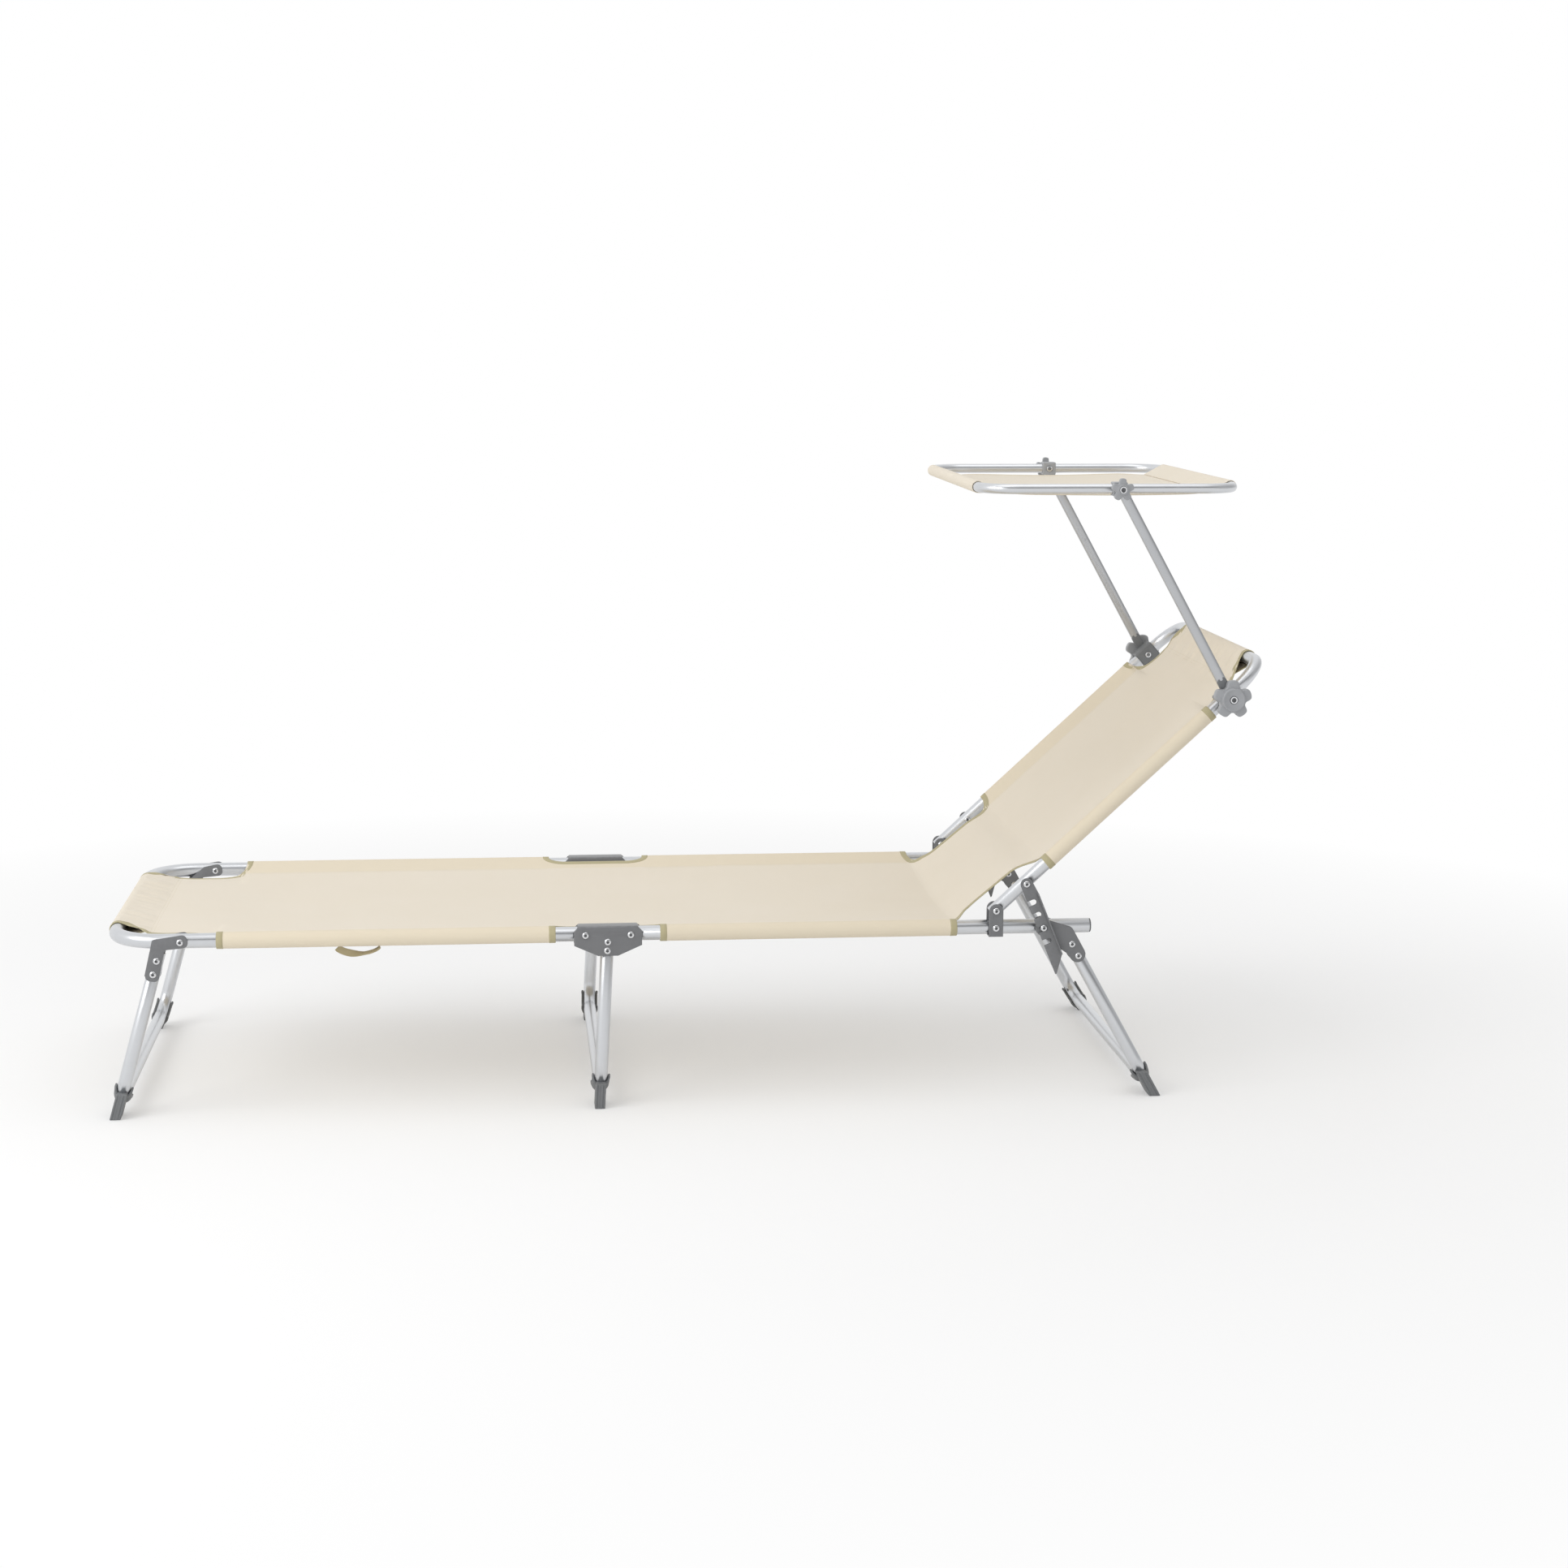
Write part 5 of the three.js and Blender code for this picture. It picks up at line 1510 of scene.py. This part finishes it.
# Each length of the sling: its name, the bodies it joins, the nodes it stands for and the tube it rests on
SLING_LENGTHS = (
    ("foot_length", "foot_section", "middle_section", ("foot_sling",), "foot_section_tube"),
    ("seat_length", "middle_section", "seat", ("middle_sling",), "seat_rail_tube_left"),
    ("back_length", "seat", "back", ("seat_sling", "back_sling"), "back_tube"),
)
HIP_JOIN = 1.050 - 0.011  # run at which the seat length ends
FOLD_REACH = Vector((0.024, 0, 0))  # from a fold to where the cloth is stiff
ON_CLOTH, ON_TAPE = 0.00052, 0.00096  # foot of a stitch above the middle of the cloth


class LOUNGER_OT_sling(Operator):
    """Builds the sling in three lengths, with its sleeves, bindings and stitching"""

    bl_idname = "lounger.sling"
    bl_label = "Sling"

    def execute(self, context):
        sizes = context.scene.lounger_sizes
        cloth = SlingCloth(sizes)
        joins = [MIDDLE_X - cloth.start_x, HIP_JOIN]
        spans = list(zip([cloth.cut[0], *joins], [*joins, cloth.cut[1]]))
        hinges = (
            (FOOT_FOLD - FOLD_REACH, FOOT_FOLD + FOLD_REACH),
            (SEAT_FOLD - FOLD_REACH, SEAT_FOLD + FOLD_REACH),
            (cloth.place(cloth.sleeves[1][1] + 0.006, 0), cloth.place(cloth.sleeves[2][0] - 0.006, 0)),
        )
        edges = [cloth.cut[0], *(edge for sleeve in cloth.sleeves for edge in sleeve), cloth.cut[1]]
        gaps = list(zip(edges[::2], edges[1::2]))
        for (name, first, second, nodes, rests_on), span, hinge in zip(SLING_LENGTHS, spans, hinges):
            made, flat, area = cloth_mesh("sling_" + name, cloth, *span)
            paths = []
            for low, high in gaps:
                start, end = max(low, span[0]), min(high, span[1])
                if end - start < 0.01:
                    continue
                for sign in (-1, 1):
                    path = edge_path(cloth, low, high, sign)
                    paths.append([p for p in path if start - NEAR <= p[0] <= end + NEAR])
            tapes = joined(f"{name}_binding", [taped(cloth, path) for path in paths])
            lines = [inset_path(path, sizes.binding - 0.0016) for path in paths]
            on_tape = stitched(f"{name}_binding_stitches", cloth, lines, ON_TAPE)
            lines = self.seams(cloth, span, sizes.binding + 0.001)
            on_cloth = stitched(f"{name}_seam_stitches", cloth, lines, ON_CLOTH)
            sewn = [tapes, on_tape, on_cloth]
            for part in (made, *sewn):
                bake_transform(part)
            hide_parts(*nodes)
        return {"FINISHED"}

    def seams(self, cloth, span, clear):
        """Double stitch lines along the side sleeves, and across the end hems clear of the tapes."""
        lines = []
        for start, end in cloth.sleeves:
            low, high = max(start + 0.003, span[0]), min(end - 0.003, span[1])
            if high - low > 0.02:
                lines += [
                    finely([(low, sign * across), (high, sign * across)], 0.03)
                    for sign in (-1, 1)
                    for across in (cloth.seam_half, cloth.seam_half - 0.004)
                ]
        for hem, edge, way in ((FOOT_HEM, 0.0, 1), (HEAD_HEM, cloth.length, -1)):
            for beyond in (0.0005, 0.0055):
                at = edge + way * (hem + beyond)
                if span[0] < at < span[1]:
                    half = cloth.half(at) - clear
                    lines.append(finely([(at, -half), (at, half)], 0.02))
        return lines


class LOUNGER_OT_shade_cloth(Operator):
    """Builds the sunshade's cloth with its end sleeves and sewn side hems"""

    bl_idname = "lounger.shade_cloth"
    bl_label = "Sunshade cloth"

    def execute(self, context):
        cloth = ShadeCloth(context.scene.lounger_sizes)
        made, flat, area = cloth_mesh("shade_cloth", cloth, *cloth.cut, columns=30)
        lines = []
        for sign in (-1, 1):
            edge = [(run, sign * cloth.half(run)) for run in cloth.runs(0, 0) if 0 <= run <= cloth.length]
            lines += [inset_path(edge, depth) for depth in (0.0035, 0.0105)]
        for at in (cloth.cut[0] + 0.0025, cloth.cut[1] - 0.0025):
            half = cloth.sleeve_half - 0.004
            lines.append(finely([(at, -half), (at, half)], 0.02))
        stitches = stitched("shade_seam_stitches", cloth, lines, ON_CLOTH)
        carried(made, "shade_cover")
        carried(stitches, body="shade")
        return {"FINISHED"}


STRAP_HALF, STRAP_HANG, STRAP_STEPS = 0.0055, 0.0100, 32
# Half of the strap's thickness across its width, from edge to edge and back
STRAP_SECTION = ((-1.0, 0.0), (-0.94, 0.0008), (0.94, 0.0008), (1.0, 0.0), (0.94, -0.0008), (-0.94, -0.0008))


class LOUNGER_OT_handle(Operator):
    """Builds the webbing carry handle under the left rail of the foot section"""

    bl_idname = "lounger.handle"
    bl_label = "Carry handle"

    def execute(self, context):
        line = self.hanging_line(*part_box("carry_handle"))
        section = [(share * STRAP_HALF, off) for share, off in STRAP_SECTION]
        size, points, width = len(section), [], Vector((0, 1, 0))
        for i, at in enumerate(line):
            heading = (line[min(STRAP_STEPS, i + 1)] - line[max(0, i - 1)]).normalized()
            twist = math.radians(12 + 78 * (1 - ramp(i / STRAP_STEPS, 0.12, 0.66)))
            across = width * math.cos(twist) + heading.cross(width) * math.sin(twist)
            points.extend(at + across * a + heading.cross(across) * off for a, off in section)
        runs = list(accumulate(((b - a).length for a, b in zip(line, line[1:])), initial=0.0))
        spans = [(a, section[(k + 1) % size][0]) for k, (a, _) in enumerate(section)]
        faces, cuts = swept(len(line), size, runs, spans)
        for ring in (0, STRAP_STEPS):
            faces.append(tuple(ring * size + k for k in range(size)))
            cuts.append(tuple((a, runs[ring]) for a, _ in section))
        carried(tidy(piece("handle_strap", points, faces, "webbing", cuts), 50), "carry_handle")
        return {"FINISHED"}

    def hanging_line(self, low, high):
        """The middle line of the strap, with both ends sewn up inside the sleeve."""
        line = []
        for k in range(STRAP_STEPS + 1):
            share = k / STRAP_STEPS
            depth = STRAP_HANG * (4 * share * (1 - share)) ** 0.75
            x = low.x - 0.003 + (high.x - low.x + 0.006) * share
            line.append(Vector((x, (low.y + high.y) / 2, high.z - 0.001 - depth)))
        return line


# Stage


CAMERA_PLACE = (-0.28519, -4.55416, 1.19627)
CAMERA_TURN = (5.636, -9.306, 0.189)  # degrees to the right, up and clockwise
CAMERA_LENS = 66.60


def place_camera():
    data = bpy.data.cameras.new("camera")
    data.sensor_fit, data.sensor_width = "HORIZONTAL", 36
    data.lens, data.clip_end = CAMERA_LENS, 100
    yaw, pitch, roll = (math.radians(a) for a in CAMERA_TURN)
    ahead = Vector((math.sin(yaw) * math.cos(pitch), math.cos(yaw) * math.cos(pitch), math.sin(pitch)))
    level = Vector((math.cos(yaw), -math.sin(yaw), 0))
    up = level.cross(ahead)
    right = level * math.cos(roll) + up * math.sin(roll)
    up = up * math.cos(roll) - level * math.sin(roll)
    camera = placed("camera", data)
    camera.matrix_world = Matrix.Translation(CAMERA_PLACE) @ Matrix((right, up, -ahead)).transposed().to_4x4()
    bpy.context.scene.camera = camera


def soft_lamp(name, place, aim, size, watts):
    lamp = bpy.data.lights.new(name, "AREA")
    lamp.shape, lamp.energy = "RECTANGLE", watts
    lamp.size, lamp.size_y = size
    holder = placed(name, lamp)
    holder.location = place
    holder.rotation_euler = (Vector(aim) - Vector(place)).to_track_quat("-Z", "Y").to_euler()


FLOOR_HALF, FLOOR_LEVEL = 30, -0.0004
UNSEEN_STRENGTH = 0.74  # of the world, as light on the lounger


class LOUNGER_OT_stage(Operator):
    """Sets up the camera, the pale floor, the world and the soft lamps"""

    bl_idname = "lounger.stage"
    bl_label = "Stage"

    def execute(self, context):
        place_camera()
        mesh = bpy.data.meshes.new("floor")
        corners = [(x * FLOOR_HALF, y * FLOOR_HALF, 0) for x, y in ((-1, -1), (1, -1), (1, 1), (-1, 1))]
        mesh.from_pydata(corners, [], [(0, 1, 2, 3)])
        floor = placed("floor", mesh)
        floor.location.z = FLOOR_LEVEL
        finish = Finish("pale_floor", Roughness=0.9, Specular_IOR_Level=0.0)
        self.shade_floor(finish)
        mesh.materials.append(finish.material)
        self.light_world(context)
        soft_lamp("key", (-3.0, -2.0, 2.3), (0, 0, 0.4), (2.4, 1.8), 52)
        soft_lamp("top", (0.2, -0.4, 3.4), (0, 0, 0.3), (2.8, 1.8), 14)
        return {"FINISHED"}

    def shade_floor(self, finish):
        """White where light falls, and fading to the plain white of the backdrop away from the lounger."""
        place = finish.object_place()
        across, along = finish.part(place, 0), finish.part(place, 1)
        away = (across * across + along * along) ** 0.5
        fade = finish.between(away, 1.1, 2.4, 0.3, 1.0)
        finish.surface(Base_Color=(0.93, 0.93, 0.93, 1.0))
        glow = finish.node("ShaderNodeEmission", inputs={"Color": (1, 1, 1, 1), "Strength": 1.0})
        seen = finish.node("ShaderNodeLightPath", output="Is Camera Ray")
        seen = seen + finish.node("ShaderNodeLightPath", output="Is Glossy Ray")
        lit = Wire(finish, finish.shader.outputs[0])
        mixed = finish.node("ShaderNodeMixShader", inputs={0: fade * seen, 1: lit, 2: glow})
        finish.feed(finish.tree.nodes["Material Output"].inputs["Surface"], mixed)

    def light_world(self, context):
        """White all round, with a dimmer band of room that gives the tubes and posts their grey stripes."""
        world = bpy.data.worlds.new("studio")
        world.use_nodes = True
        context.scene.world = world
        finish = Finish(tree=world.node_tree)
        direction = finish.node("ShaderNodeTexCoord", output="Generated")
        right, ahead, up = (finish.part(direction, axis) for axis in range(3))
        band = finish.between(up, 0.28, 0.40) * finish.between(up, 0.62, 0.74, 1.0, 0.0)
        room = 1 - 0.85 * band * finish.between(ahead, -0.25, -0.6)
        room = room * finish.between(right, 0.45, 0.9, 1.0, 0.55)
        overhead = finish.between(up, 0.80, 1.0, 1.0, 0.8)
        kinds = ("Camera", "Glossy", "Transmission")
        rays = (finish.node("ShaderNodeLightPath", output=f"Is {kind} Ray") for kind in kinds)
        camera, glossy, through = rays
        seen = camera + through + glossy * room * overhead
        unseen = 1 - camera - glossy - through
        ground = world.node_tree.nodes["Background"]
        finish.feed(ground.inputs["Strength"], seen + unseen * UNSEEN_STRENGTH)
        ground.inputs["Color"].default_value = (1, 1, 1, 1)


MAKERS = (
    LOUNGER_OT_stage,
    LOUNGER_OT_tubes,
    LOUNGER_OT_fasteners,
    LOUNGER_OT_fittings,
    LOUNGER_OT_posts,
    LOUNGER_OT_knobs,
    LOUNGER_OT_sling,
    LOUNGER_OT_shade_cloth,
    LOUNGER_OT_handle,
)


class LOUNGER_PT_sidebar(Panel):
    """Lists the lounger's sizes, colours and pieces"""

    bl_idname = "LOUNGER_PT_sidebar"
    bl_label = "Sun lounger"
    bl_space_type = "VIEW_3D"
    bl_region_type = "UI"
    bl_category = "Lounger"

    def draw(self, context):
        layout = self.layout
        for group in (context.scene.lounger_sizes, context.scene.lounger_colours):
            box = layout.box()
            for key in group.__annotations__:
                box.prop(group, key)
        for maker in MAKERS:
            layout.operator(maker.bl_idname)


CLASSES = (LoungerSizes, LoungerColours, *MAKERS, LOUNGER_PT_sidebar)


def register():
    for each in CLASSES:
        bpy.utils.register_class(each)
    bpy.types.Scene.lounger_sizes = PointerProperty(type=LoungerSizes)
    bpy.types.Scene.lounger_colours = PointerProperty(type=LoungerColours)


def unregister():
    del bpy.types.Scene.lounger_colours
    del bpy.types.Scene.lounger_sizes
    for each in reversed(CLASSES):
        bpy.utils.unregister_class(each)


def main():
    register()
    bpy.context.scene.view_settings.view_transform = "Standard"
    bpy.ops.lounger.stage()
    bpy.ops.lounger.tubes()
    bpy.ops.lounger.fasteners()
    bpy.ops.lounger.fittings()
    bpy.ops.lounger.posts()
    bpy.ops.lounger.knobs()
    bpy.ops.lounger.sling()
    bpy.ops.lounger.shade_cloth()
    bpy.ops.lounger.handle()


if __name__ == "__main__":
    main()
